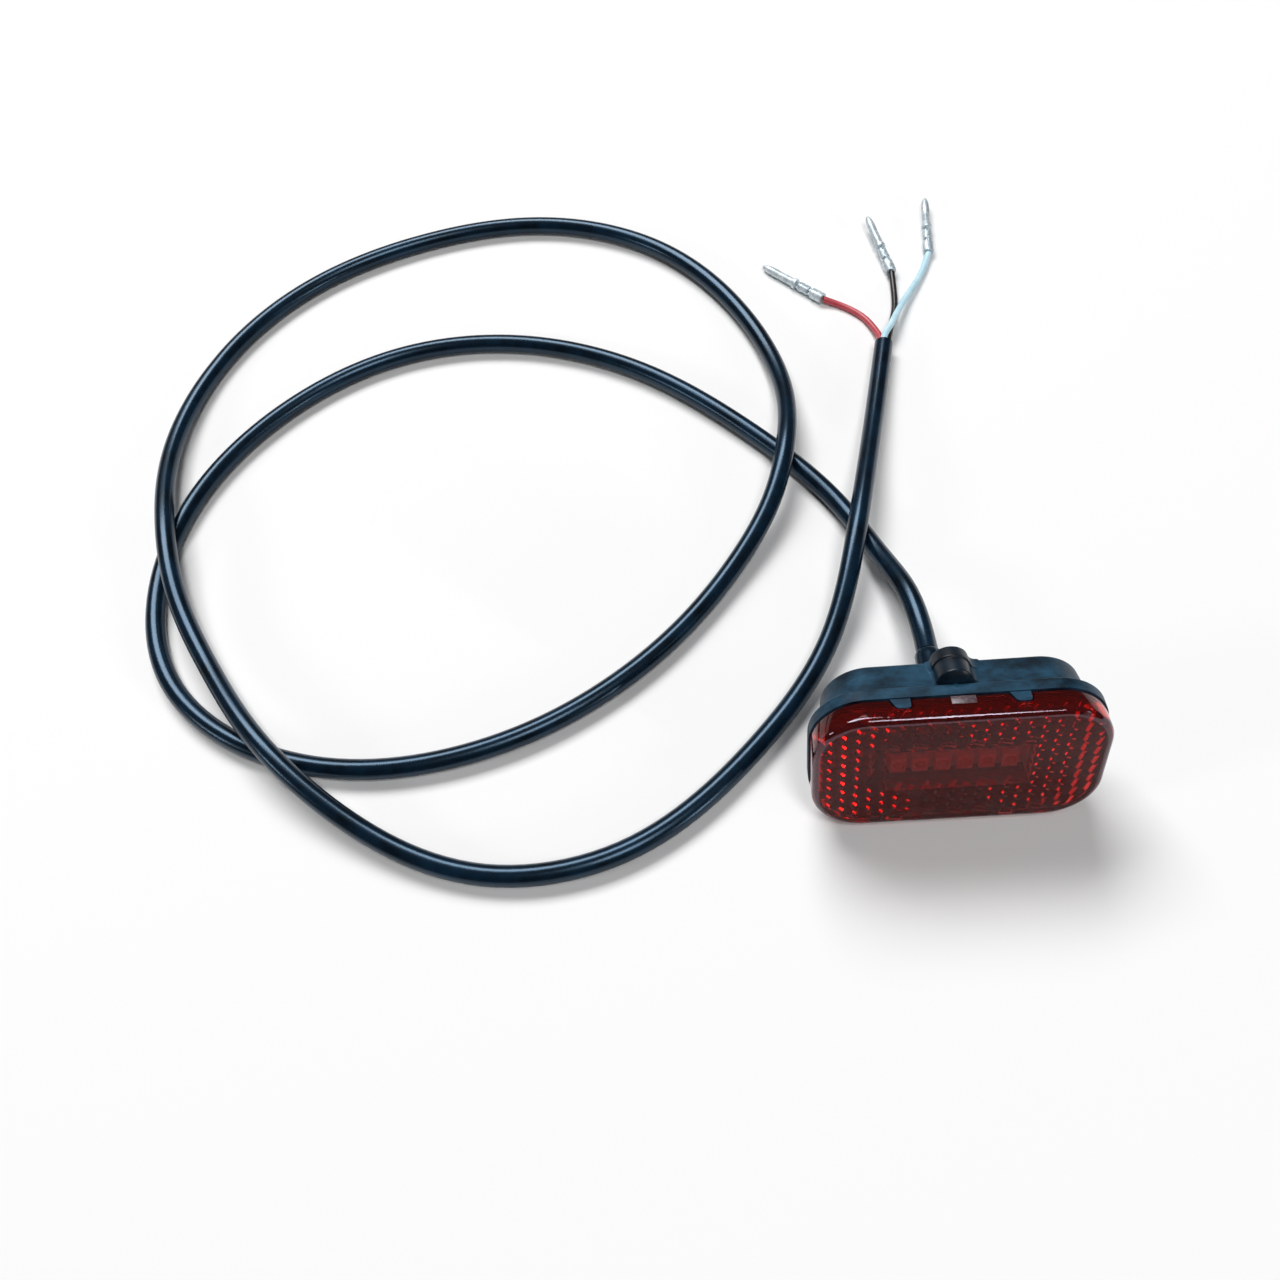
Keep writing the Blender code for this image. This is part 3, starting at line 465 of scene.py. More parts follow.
# ---------------------------------------------------------------- settings
class LensSettings(bpy.types.PropertyGroup):
    edge: bpy.props.FloatProperty(
        name="Edge Rounding", description="Rounding round the lens's front face",
        default=1.3 * MM, min=0.5 * MM, max=2.5 * MM, unit="LENGTH")
    colour: bpy.props.FloatVectorProperty(
        name="Lens Colour", description="Colour that light keeps through the lens",
        default=linear("#d85450")[:3], size=3, subtype="COLOR", min=0, max=1)


class LeadSettings(bpy.types.PropertyGroup):
    sides: bpy.props.IntProperty(
        name="Sides", description="Facets round the jacket", default=28, min=8, max=64)


class StageSettings(bpy.types.PropertyGroup):
    floor_size: bpy.props.FloatProperty(
        name="Floor Size", description="Width of the pale floor", default=4.0, unit="LENGTH")
    sky: bpy.props.FloatProperty(
        name="Sky", description="Strength of the even light from all sides", default=0.04)


# ---------------------------------------------------------------- lead
def smooth_path(points, spacing):
    """Points about spacing apart on the natural cubic spline through the given ones."""
    points = [Vector(p) for p in points]
    count = len(points)
    spans = [(b - a).length ** 0.5 for a, b in zip(points, points[1:])]
    # One tridiagonal system gives the slopes; it is solved from one end to the other.
    lower, middle, upper, target = [0.0] * count, [0.0] * count, [0.0] * count, [None] * count
    middle[0], upper[0], target[0] = 2.0, 1.0, 3 * (points[1] - points[0]) / spans[0]
    middle[-1], lower[-1] = 2.0, 1.0
    target[-1] = 3 * (points[-1] - points[-2]) / spans[-1]
    for i in range(1, count - 1):
        before, after = spans[i - 1], spans[i]
        lower[i], middle[i], upper[i] = after, 2 * (before + after), before
        target[i] = 3 * (after * (points[i] - points[i - 1]) / before
                         + before * (points[i + 1] - points[i]) / after)
    for i in range(1, count):
        share = lower[i] / middle[i - 1]
        middle[i] -= share * upper[i - 1]
        target[i] = target[i] - share * target[i - 1]
    slopes = [None] * count
    slopes[-1] = target[-1] / middle[-1]
    for i in range(count - 2, -1, -1):
        slopes[i] = (target[i] - upper[i] * slopes[i + 1]) / middle[i]
    made = []
    for i, span in enumerate(spans):
        steps = max(2, round((points[i + 1] - points[i]).length / spacing))
        for step in range(steps):
            t = step / steps
            made.append((2 * t**3 - 3 * t**2 + 1) * points[i]
                        + (t**3 - 2 * t**2 + t) * span * slopes[i]
                        + (3 * t**2 - 2 * t**3) * points[i + 1]
                        + (t**3 - t**2) * span * slopes[i + 1])
    return [*made, points[-1]]


def add_tube(name, points, radius, sides):
    """A round tube through these points, closed at both ends, as a mesh."""
    curve = bpy.data.curves.new(name, "CURVE")
    curve.dimensions = "3D"
    curve.bevel_depth = radius
    curve.bevel_resolution = sides // 2 - 2
    curve.use_fill_caps = True
    line = curve.splines.new("POLY")
    line.points.add(len(points) - 1)
    for place, point in zip(line.points, points):
        place.co = (*point, 1)
    tube = bpy.data.objects.new(name, curve)
    bpy.context.collection.objects.link(tube)
    only(tube)
    bpy.ops.object.convert(target="MESH")
    tube = bpy.context.object
    tidy_mesh(tube)
    return tube


def lead_path():
    """The jacket's centre line, from the boot's mouth over the surface to its cut end."""
    mouth = LAMP @ Vector((BOSS_OFFSET, REAR_FACE + BOOT_TAIL + GAP, 0))
    straight = LAMP @ Vector((BOSS_OFFSET, REAR_FACE + BOOT_TAIL + 6 * MM, 0))
    radius = CORD_DIAMETER / 2
    route = [(x * MM, y * MM, radius + lift * MM) for x, y, lift in CORD_ROUTE]
    points = smooth_path([mouth, straight, *route], 2.5 * MM)
    for point in points:
        point.z = max(point.z, radius)
    return points


class TAILLAMP_OT_lead(bpy.types.Operator):
    """Adds the jacket, its three cores, their crimped pins and the moulded boot"""

    bl_idname = "taillamp.lead"
    bl_label = "Add Lead"

    def execute(self, context):
        settings = context.scene.lamp_lead
        radius = CORD_DIAMETER / 2
        path = lead_path()
        jacket = add_tube("lead_jacket", path, radius, settings.sides)
        ahead = (path[-1] - path[-3]).normalized()
        across = ahead.cross(Vector((0, 0, 1))).normalized()
        upward = across.cross(ahead)
        core_radius, sunk = CORE_DIAMETER / 2, 2 * MM
        bore_radius = core_radius + 0.04 * MM
        on_lead = []
        for name, (angle, route, aim) in CORE_ROUTES.items():
            turn = math.radians(angle)
            offset = CORE_CIRCLE * (across * math.cos(turn) + upward * math.sin(turn))
            start = path[-1] + offset - ahead * sunk
            bore = turned("bore", [(bore_radius, 0), (bore_radius, sunk * 2)], 20)
            bore.data.transform(aimed(start - ahead * GAP, ahead))
            combine(jacket, "DIFFERENCE", bore)
            places = [(x * MM, y * MM, core_radius + lift * MM) for x, y, lift in route]
            points = smooth_path([start, start + ahead * (sunk + 2 * MM), *places], 0.5 * MM)
            for point in points:
                point.z = max(point.z, core_radius)
            core = add_tube(f"core_{name}", points, core_radius, 20)
            finish_piece(core, f"{name}_core_pvc", f"conductor_{name}", core_pvc(name))
            target = Vector(aim) * MM + Vector((0, 0, PIN_DIAMETER / 2))
            pin = add_pin(f"crimped_pin_{name}", points[-1], (target - points[-1]).normalized())
            finish_piece(pin, "tinned_brass", f"pin_{name}", tinned_brass())
            on_lead += [core, pin]
        finish_piece(jacket, "black_pvc", "cord_jacket", pvc_painted_sheen())
        boot = add_boot()
        finish_piece(boot, "black_pvc", "strain_relief", pvc_painted_sheen())
        for piece in [jacket, boot, *on_lead]:
            smooth(piece, 35)
        return {"FINISHED"}


def add_wedge(name, width, depth, top, near, far):
    """A cutter along Z for a V-groove of this width and depth in the top of a turned piece."""
    side = 2 * MM
    wedge = add_block(name, (-side / 2, -side / 2, near), (side / 2, side / 2, far))
    wedge.data.transform(Matrix.Rotation(math.radians(45), 4, "Z"))
    wedge.data.transform(Matrix.Scale(width / 2 / depth, 4, (1, 0, 0)))
    wedge.data.transform(Matrix.Translation((0, top - depth + side / math.sqrt(2), 0)))
    return wedge


def add_pin(name, start, direction):
    """A pressed pin: insulation crimp, open waist, wire crimp, neck and rolled pin.

    It is built along Z with its seams on top, at +Y. The wire's strands lie in the waist.
    """
    crimp, pin = CRIMP_DIAMETER / 2, PIN_DIAMETER / 2
    wire = crimp * 0.86
    profile = [(radius, place * MM) for radius, place in (
        (crimp * 0.96, 0), (crimp, 0.15), (crimp, 3.15), (crimp * 0.96, 3.3),
        (wire * 0.9, 3.5), (wire * 0.9, 4.2), (wire, 4.4), (wire, 5.4), (wire * 0.93, 5.5),
        (wire * 0.93, 6.0), (wire, 6.1), (wire, 7.1), (pin * 0.8, 7.7), (pin * 0.8, 8.0),
        (crimp * 0.98, 8.2), (crimp * 0.98, 8.9), (pin, 9.4), (pin, 13.0), (pin * 0.93, 13.15),
        (pin * 0.93, 13.5), (pin, 13.65))]
    taper, steps = 3.6 * pin, 8
    for step in range(steps, 0, -1):
        angle = math.radians(90) * step / steps
        profile.append((pin * math.sin(angle), PIN_LENGTH - taper * (1 - math.cos(angle))))
    made = turned(name, profile, 32)
    combine(made, "DIFFERENCE",
            add_wedge("valley", 0.62 * MM, 0.42 * MM, crimp, -1 * MM, 3.45 * MM),
            add_wedge("valley", 0.66 * MM, 0.42 * MM, wire, 4.3 * MM, 7.2 * MM),
            add_wedge("seam", 0.16 * MM, 0.22 * MM, pin, 9.5 * MM, PIN_LENGTH - 1 * MM),
            *[add_block("opening", (-2 * MM, 0.2 * MM, low * MM), (2 * MM, 2 * MM, high * MM))
              for low, high in ((3.35, 4.3), (7.3, 8.1))])
    strands = []
    for x, y, far in ((-0.42, 0.2, 7.5), (0, 0.26, 7.7), (0.42, 0.2, 7.4), (-0.2, 0.48, 4.6),
                      (0.22, 0.5, 4.6)):
        strand = turned("strand", [(0.2 * MM, 3.1 * MM), (0.2 * MM, far * MM)], 10)
        strand.data.transform(Matrix.Translation((x * MM, y * MM, 0)))
        strands.append(strand)
    join(made, *strands)
    made.data.transform(aimed(start + direction * GAP, direction))
    return made


def add_boot():
    """The strain relief: flange inside, neck through the rear wall, let-in base and tail."""
    tail = REAR_FACE + BOOT_TAIL
    inner = BOOT_LOW.y
    face = REAR_FACE + GAP - BOOT_SEAT
    ease = 0.2 * MM
    collar = face + 0.6 * MM
    profile = [(BOOT_BASE - ease, inner), (BOOT_BASE, inner + ease),
               (BOOT_BASE, inner + 0.8 * MM), (BOOT_BASE - ease, inner + 1 * MM),
               (BOOT_NECK, inner + 1 * MM), (BOOT_NECK, face), (BOOT_BASE - ease, face),
               (BOOT_BASE, face + ease), (BOOT_BASE, collar)]
    steps = 12
    for step in range(1, steps):
        share = 1 - step / steps
        profile.append((BOOT_TIP + (BOOT_BASE - BOOT_TIP) * share**1.7,
                        collar + (1 - share) * (tail - 0.5 * MM - collar)))
    profile += [(BOOT_TIP, tail - 0.5 * MM), (BOOT_TIP - 0.15 * MM, tail - 0.15 * MM),
                (BOOT_TIP - 0.4 * MM, tail)]
    boot = turned("lead_boot", profile)
    boot.data.transform(LAMP @ aimed((BOSS_OFFSET, 0, 0), (0, 1, 0)))
    return boot


def pvc_painted_sheen():
    """Extruded PVC: black, a little dusty, faintly pebbled. Its blue colours and bluish specular
    tint are a painted cool sheen.
    """
    # Blue light colour and bluish specular tint: painted cool sheen.
    return weathered("black_pvc_jacket", "#040a12", "#0c2234", 7, 0.5, 0.12,
                     Roughness=0.25, Specular_Tint=linear("#b4dcff"))


def core_pvc(name):
    """Thin insulation, softer than the jacket: even colour with faint handling marks."""
    dark, light = {"red": ("#b03c44", "#cc5660"), "black": ("#120e0c", "#1e1815"),
                   "white": ("#b2dcec", "#d6f0fa")}[name]
    return weathered(f"{name}_core_insulation", dark, light, 4, 0.3, 0.1,
                     Roughness=0.36)


def tinned_brass():
    """Tin-plated strip: a dull silver bloom, with cloudy tarnish and fine press marks."""
    return weathered("tinned_brass_terminal", "#b4c0c6", "#eef6fa", 1.2, 0.12, 0.15,
                     Roughness=0.58, Metallic=0.9)


# ---------------------------------------------------------------- lens
def array(obj, count, offset):
    """Adds a modifier that repeats a piece at this offset and merges where copies meet."""
    step = obj.modifiers.new("Array", "ARRAY")
    step.count = count
    step.use_relative_offset = False
    step.use_constant_offset = True
    step.constant_offset_displace = offset
    step.use_merge_vertices = True
    step.merge_threshold = CLOSE


def prism_block():
    """The solid in front of the reflex prisms' backs, to take away from the lens's hollow.

    A prism is a hexagon of six triangles whose middle is the tip. Its corners are by turns
    half way down and right down, so that three square faces meet at every tip and low corner.
    """
    step = PRISM_COLUMN * 2 / 3
    foot = LENS_LOW.y + LENS_FRONT + 0.02 * MM
    prism = add_shape(bpy.ops.mesh.primitive_circle_add, "prisms", vertices=6, radius=step,
                      fill_type="TRIFAN", rotation=(math.radians(90), math.radians(30), 0))
    prism.data.transform(Matrix.Scale(PRISM_ROW / 2 / (step * math.sin(math.radians(60))), 4,
                                      (0, 0, 1)))
    for vert in prism.data.vertices:
        along = vert.co.x / step
        low = along < -0.75 or 0.25 < along < 0.75
        share = 1 if abs(along) < 0.25 else 0 if low else 0.5
        vert.co.y = foot + share * PRISM_DEPTH
    rows = math.ceil(LENS_HIGH.z / PRISM_ROW)
    pairs = math.ceil(LENS_HIGH.x / PRISM_COLUMN / 2)
    prism.data.transform(Matrix.Translation((-2 * pairs * PRISM_COLUMN, 0, -rows * PRISM_ROW)))
    array(prism, 2 * rows + 1, (0, 0, PRISM_ROW))
    array(prism, 2, (PRISM_COLUMN, 0, PRISM_ROW / 2))
    array(prism, 2 * pairs + 1, (2 * PRISM_COLUMN, 0, 0))
    apply_modifiers(prism)
    tidy_mesh(prism, 1e-5)
    with edit_mode(prism, action="SELECT"):
        extrude(0, -REACH, 0)
        bpy.ops.transform.resize(value=(1, 0, 1), center_override=(0, LENS_LOW.y, 0))
    tidy_mesh(prism)
    window = add_block("window", (-WINDOW_WIDTH / 2, 2 * LENS_LOW.y, WINDOW_LOW),
                       (WINDOW_WIDTH / 2, 0, WINDOW_HIGH))
    return combine(prism, "DIFFERENCE", window)


def tab_shape(name, side, level, gap):
    """A snap tab with rounded front corners and a slanted left flank, widened by gap."""
    x = side * TAB_SPACING / 2
    outer, inner = level * (LENS_HIGH.z + 0.5 * gap), level * (LENS_HIGH.z - LENS_WALL - gap)
    tab = add_block(name, (x - TAB_WIDTH / 2 - gap, -TAB_LENGTH - gap, min(outer, inner)),
                    (x + TAB_WIDTH / 2 + gap, REACH, max(outer, inner)))
    with edit_mode(tab, "VERT"):
        pick(tab, "verts", lambda v: v.co.x < x and v.co.y > 0)
        bpy.ops.transform.translate(value=(-TAB_SLANT * (TAB_LENGTH + REACH) / TAB_LENGTH, 0, 0))
    with edit_mode(tab, "EDGE"):
        pick(tab, "edges", lambda e: max(v.co.y for v in e.verts) < 0
             and abs(e.verts[0].co.x - e.verts[1].co.x) < CLOSE)
        bpy.ops.mesh.bevel(offset=TAB_ROUND + gap / 2, segments=5, affect="EDGES")
    return tab


CORNERS = [(side, level) for side in (-1, 1) for level in (-1, 1)]


def make_lens(edge):
    """The lens: a shell with prisms and a window inside, a gate pad and four notches."""
    lens = add_slab("lens", (LENS_LOW.x, LENS_LOW.y + edge, LENS_LOW.z), LENS_HIGH,
                    LENS_CORNER, 18)
    step_end(lens, -1, rounding(edge, 8))
    with edit_mode(lens, "EDGE"):
        pick(lens, "edges", lambda e: min(v.co.y for v in e.verts) > LENS_HIGH.y - CLOSE)
        bpy.ops.mesh.bevel(offset=RIM_EDGE, segments=3, affect="EDGES")
    inside = Vector((LENS_HIGH.x - LENS_WALL, REACH, LENS_HIGH.z - LENS_WALL))
    inner_edge = 0.5 * MM
    hollow = add_slab("hollow", (-inside.x, LENS_LOW.y + LENS_FRONT + inner_edge, -inside.z),
                      inside, LENS_CORNER - LENS_WALL, 18)
    step_end(hollow, -1, rounding(inner_edge, 4))
    combine(hollow, "DIFFERENCE", prism_block())
    combine(lens, "DIFFERENCE", hollow)
    pad = add_block("gate_pad", (-GATE_WIDTH / 2, -GATE_LENGTH, LENS_HIGH.z - 0.4 * MM),
                    (GATE_WIDTH / 2, LENS_HIGH.y, LENS_HIGH.z + GATE_RISE))
    soften(pad, 0.08 * MM)
    combine(lens, "UNION", pad)
    combine(lens, "DIFFERENCE",
            *[tab_shape("notch", side, level, GAP) for side, level in CORNERS])
    tidy_mesh(lens)
    return lens


def make_seal():
    """A rubber ring in the groove between the lens's wall and the housing's lip."""
    x, z = LENS_HIGH.x - LENS_WALL - GAP, LENS_HIGH.z - LENS_WALL - GAP
    corner = LENS_CORNER - LENS_WALL - GAP
    seal = add_slab("seal", (-x, -0.8 * MM, -z), (x, -GAP, z), corner)
    bore = add_slab("bore", (SEAL_WIDTH - x, -2 * MM, SEAL_WIDTH - z),
                    (x - SEAL_WIDTH, REACH, z - SEAL_WIDTH), corner - SEAL_WIDTH)
    combine(seal, "DIFFERENCE", bore)
    soften(seal, 0.12 * MM, 3)
    return seal


class TAILLAMP_OT_lens(bpy.types.Operator):
    """Adds the red lens with its prisms, window, notches and gate pad, and its seal"""

    bl_idname = "taillamp.lens"
    bl_label = "Add Lens"

    def execute(self, context):
        settings = context.scene.lamp_lens
        lens = make_lens(settings.edge)
        finish_piece(lens, "red_polycarbonate", "lens_cover",
                     red_polycarbonate(settings.colour), frosted_gate())
        paint(lens, 1, lambda face: face.center.z > LENS_HIGH.z + 0.05 * MM)
        mark_kept_reflection(lens)
        smooth(lens, 25)
        seal = make_seal()
        finish_piece(seal, "black_rubber", "lens_seal", rubber())
        smooth(seal)
        for piece in (lens, seal):
            settle(piece)
        return {"FINISHED"}


def mark_kept_reflection(lens):
    """An attribute on the faces: 1 on the lens's outer roundings, which catch the light and keep
    their reflection, and 0 on the rest, whose reflection is painted out.
    """
    front, rim = LENS_LOW.y + 1.5 * MM, LENS_HIGH.y - 0.4 * MM
    least_turn = math.cos(math.radians(3.6))
    polish = lens.data.attributes.new("polish", "FLOAT", "FACE")
    for face in lens.data.polygons:
        normal = face.normal
        flat = max(abs(normal.y), math.hypot(normal.x, normal.z)) > least_turn
        rounded = not flat and not front < face.center.y < rim
        polish.data[face.index].value = float(rounded)


def red_polycarbonate(colour):
    """Clear red moulding: deep red where thick, paler where thin, nearly black over black. Its
    reflection is painted out on the flat faces, and its highlights on the roundings are painted
    lavender.
    """
    made, tree, shader = new_material("red_polycarbonate", "#c4141c", Roughness=0.0, IOR=1.585,
                                      Transmission_Weight=0.96)
    shader.inputs["Base Color"].default_value = (*colour, 1)
    # Specular tint by the mask: near black on the flat faces, where the reflection is painted out,
    # and lavender on the roundings as a painted highlight colour.
    polish = add_node(tree, "Attribute", attribute_name="polish")
    reflection_tint = add_node(tree, "ValToRGB", {"Fac": polish.outputs["Fac"]})
    reflection_tint.color_ramp.elements[0].color = linear("#0a0408")
    reflection_tint.color_ramp.elements[1].color = linear("#f4eaff")
    tree.links.new(reflection_tint.outputs["Color"], shader.inputs["Specular Tint"])
    place = add_node(tree, "TexCoord").outputs["Object"]
    wave = 6.25 * MM    # width of the flow marks left by the moulding
    ripple = add_node(tree, "TexNoise", {"Vector": place, "Scale": 1 / wave, "Detail": 2.0})
    bump = add_node(tree, "Bump", {"Height": ripple.outputs["Fac"], "Strength": 0.02,
                                   "Distance": 0.1 * MM})
    tree.links.new(bump.outputs["Normal"], shader.inputs["Normal"])
    depth = add_node(tree, "VolumeAbsorption", {"Color": linear("#ff5a46"), "Density": 300.0})
    tree.links.new(depth.outputs["Volume"], tree.nodes["Material Output"].inputs["Volume"])
    return made


def frosted_gate():
    """The gate's scar: the same resin, sheared off, so it scatters and shows torn glints."""
    return weathered("frosted_gate", "#5a2c38", "#b0a0ac", 0.5, 0.25, 0.9,
                     Roughness=0.35, IOR=1.585, Transmission_Weight=0.7)


def rubber():
    """Moulded rubber: dull black with a grey bloom."""
    return weathered("black_rubber", "#0a0a0b", "#151516", 2, 0.2, 0.2, Roughness=0.7)


# ---------------------------------------------------------------- housing
def make_body():
    """The tapered tub behind the flange, with a small fillet at its foot."""
    half_x, half_z = LENS_HIGH.x - BODY_END_STEP, LENS_HIGH.z - BODY_TOP_STEP
    foot, edge = 0.3 * MM, 0.8 * MM
    body = add_slab("body", (-half_x - foot, FLANGE_THICKNESS - REACH, -half_z - foot),
                    (half_x + foot, FLANGE_THICKNESS, half_z + foot), BODY_CORNER + foot, 18)
    depth = REAR_FACE - FLANGE_THICKNESS - foot - edge
    step_end(body, 1, [*rounding(foot, 4, hollow=True), (BODY_DRAFT, depth),
                       *rounding(edge, 6)])
    return body


def push_scaled(moves, pivot):
    """Pushes the selected face along Y in steps of (distance, scale about the pivot)."""
    before = 1
    for distance, scale in moves:
        extrude(0, distance, 0)
        share = scale / before
        bpy.ops.transform.resize(value=(share, 1, share), center_override=pivot)
        before = scale


def make_boss():
    """Half-round boss for the lead on the top wall, with a small and a large fillet.

    One point is spun round the right fillet, the crown and the left fillet. The outline is
    then closed below the wall, filled, pushed back and pushed forwards into a rounded nose.
    """
    wall = LENS_HIGH.z - BODY_TOP_STEP - 0.05 * MM    # a little inside the body, to join it
    middle = wall + BOSS_RISE
    start, edge = REAR_FACE - BOSS_COLLAR, 0.4 * MM
    crown = BOSS_RISE + BOSS_RADIUS
    arcs = []
    for fillet in (BOSS_FILLET_RIGHT, BOSS_FILLET_LEFT):
        rise = wall + fillet - middle
        reach = math.sqrt((BOSS_RADIUS + fillet) ** 2 - rise**2)
        arcs.append((fillet, reach, math.atan2(rise, reach)))
    (right, right_reach, right_turn), (left, left_reach, left_turn) = arcs
    boss = add_shape(bpy.ops.mesh.primitive_plane_add, "boss", size=GAP,
                     location=(BOSS_OFFSET + right_reach, start, wall))
    with edit_mode(boss, "VERT", "SELECT"):
        bpy.ops.mesh.merge(type="CENTER")
        for steps, angle, x, z in (
            (10, right_turn - math.radians(90), right_reach, wall + right),
            (28, math.radians(180) - right_turn - left_turn, 0, middle),
            (8, left_turn - math.radians(90), -left_reach, wall + left),
        ):
            bpy.ops.mesh.spin(steps=steps, angle=angle, axis=(0, 1, 0),
                              center=(BOSS_OFFSET + x, start, z))
        for move in ((0, 0, -REACH), (left_reach + right_reach, 0, 0), (0, 0, REACH)):
            extrude(*move)
        bpy.ops.mesh.select_all(action="SELECT")
        bpy.ops.mesh.remove_doubles(threshold=2e-6)
        bpy.ops.mesh.edge_face_add()
    pivot = (BOSS_OFFSET, 0, wall)
    rear = [(REAR_FACE - BOSS_END_STEP - edge - start, 1)]
    lowered = 0
    for inward, outward in rounding(edge, 4):
        lowered += inward
        rear.append((outward, 1 - lowered / crown))
    with edit_mode(boss, action="SELECT"):
        push_scaled(rear, pivot)
    # Forwards: down the collar's step, straight on, round the nose and into the flange.
    ease, slope, sunk = 0.15 * MM, 0.2 * MM, 0.9 * MM
    straight = FLANGE_THICKNESS + BOSS_NOSE - start + ease + slope
    nose, reached = [(-ease, 0.99), (-slope, BOSS_WAIST), (straight, BOSS_WAIST)], 0
    low, steps = (BODY_TOP_STEP + FLANGE_MARGIN) / crown, 6
    for step in range(1, steps + 1):
        turn = math.radians(90) * step / steps
        share = low + (BOSS_WAIST - low) * math.cos(turn)
        nose.append((reached - BOSS_NOSE * math.sin(turn), share))
        reached = BOSS_NOSE * math.sin(turn)
    nose.append((-sunk, low))
    tidy_mesh(boss)
    with edit_mode(boss):
        place = min(v.co.y for v in boss.data.vertices)
        pick(boss, "faces", lambda f: abs(f.calc_center_median().y - place) < CLOSE)
        push_scaled(nose, pivot)
    tidy_mesh(boss)
    for vert in boss.data.vertices:
        share = (vert.co.y - FLANGE_THICKNESS) / (REAR_FACE - FLANGE_THICKNESS)
        vert.co.z -= BODY_DRAFT * share
    return boss


def make_tub():
    """The flange with its lip and tabs before it, and body and boss behind, hollowed out."""
    half_x, half_z = LENS_HIGH.x + FLANGE_MARGIN, LENS_HIGH.z + FLANGE_MARGIN
    edge = 0.45 * MM
    tub = add_slab("housing", (-half_x, 0, -half_z), (half_x, FLANGE_THICKNESS - edge, half_z),
                   LENS_CORNER + FLANGE_MARGIN, 18)
    step_end(tub, 1, rounding(edge, 5))
    lip_x, lip_z = LENS_HIGH.x - LIP_STEP, LENS_HIGH.z - LIP_STEP
    lip = add_slab("lip", (-lip_x, -LIP_HEIGHT, -lip_z), (lip_x, REACH, lip_z),
                   LENS_CORNER - LIP_STEP)
    tabs = [tab_shape("tab", side, level, 0) for side, level in CORNERS]
    combine(tub, "UNION", make_body(), make_boss(), lip, *tabs)
    cavity = add_slab("cavity", (LIP_WALL - lip_x, -2 * MM, LIP_WALL - lip_z),
                      (lip_x - LIP_WALL, REAR_INNER, lip_z - LIP_WALL),
                      LENS_CORNER - LIP_STEP - LIP_WALL)
    return combine(tub, "DIFFERENCE", cavity)


def add_posts(tub):
    """Adds the posts for screws and inserts, and bores them and the boot's seat."""
    pocket, behind = REAR_FACE - INSERT_LENGTH - GAP, REAR_FACE + REACH
    floor = REAR_INNER + REACH
    posts, holes = [], []
    for side in (-1, 1):
        x = side * SCREW_SPACING / 2
        posts.append(add_rod("post", POST_RADIUS, BOARD_HIGH.y + GAP, floor, x))
        holes.append(add_rod("hole", SCREW_HOLE, BOARD_HIGH.y - REACH, REAR_INNER - REACH, x))
        x = side * INSERT_SPACING / 2
        posts.append(add_rod("post", POCKET_RADIUS + POCKET_WALL, pocket - 0.7 * MM, floor, x))
        holes.append(add_rod("hole", POCKET_RADIUS, pocket, behind, x))
    holes.append(add_rod("entry", BOOT_NECK + GAP, REAR_INNER - REACH, behind, BOSS_OFFSET))
    holes.append(add_rod("seat", BOOT_BASE + GAP, REAR_FACE - BOOT_SEAT, behind, BOSS_OFFSET))
    combine(tub, "UNION", *posts)
    combine(tub, "DIFFERENCE", *holes)


class TAILLAMP_OT_housing(bpy.types.Operator):
    """Adds the black housing with its boss, tabs, lip, posts and insert pockets"""

    bl_idname = "taillamp.housing"
    bl_label = "Add Housing"

    def execute(self, context):
        housing = make_tub()
        add_posts(housing)
        tidy_mesh(housing)
        finish_piece(housing, "black_abs", "back_housing", abs_rubbed_cool_lit(), painted_shade_abs())
        wall = LENS_HIGH.z - BODY_TOP_STEP + 0.1 * MM
        reach = BOSS_RADIUS + 0.5 * MM
        # The boss's faces get the darker copy of the ABS: painted shade.
        paint(housing, 1, lambda face: face.center.z > wall
              and abs(face.center.x - BOSS_OFFSET) < reach
              and FLANGE_THICKNESS < face.center.y < REAR_FACE)
        smooth(housing, 28, weighted=True)
        settle(housing)
        return {"FINISHED"}


def abs_rubbed_cool_lit():
    """Moulded black ABS: fine grain, rubbed paler in cloudy patches. Its blue cast is partly the
    resin's own tint and partly painted cool light, and its blue specular tint is a painted cool
    reflection.
    """
    # Blue colours and blue specular tint: partly painted cool light and reflection.
    return weathered("black_abs_housing", "#07131c", "#274f68", 5, 0.28, 0.25,
                     stretch=1.4, spread=(0.36, 0.74), Roughness=0.45,
                     Specular_IOR_Level=0.3, Specular_Tint=linear("#b4dcff"))


def painted_shade_abs():
    """The same ABS on the boss, a little glossier and painted darker as painted shade; its crown
    takes a soft highlight from the lights.
    """
    return weathered("satin_abs_boss", "#081019", "#14293a", 5, 0.28, 0.1,
                     Roughness=0.36, Specular_IOR_Level=0.32)


# ---------------------------------------------------------------- inside the lamp
def make_screen():
    """A plate behind the prisms with a light box round its window, open at both ends."""
    back, half = SHADE_LOW.y + SHADE_PLATE, WINDOW_WIDTH / 2
    screen = add_slab("screen", SHADE_LOW, (SHADE_HIGH.x, back, SHADE_HIGH.z),
                      LENS_CORNER - LENS_WALL - 2 * GAP)
    case = add_block("case", (-half - SHADE_WALL, back - SHADE_PLATE / 2, WINDOW_LOW - SHADE_WALL),
                     (half + SHADE_WALL, SHADE_HIGH.y, WINDOW_HIGH + SHADE_WALL))
    opening = add_block("opening", (-half, 2 * SHADE_LOW.y, WINDOW_LOW),
                        (half, 2 * SHADE_HIGH.y, WINDOW_HIGH))
    combine(screen, "UNION", case)
    combine(screen, "DIFFERENCE", opening)
    tidy_mesh(screen)
    return screen


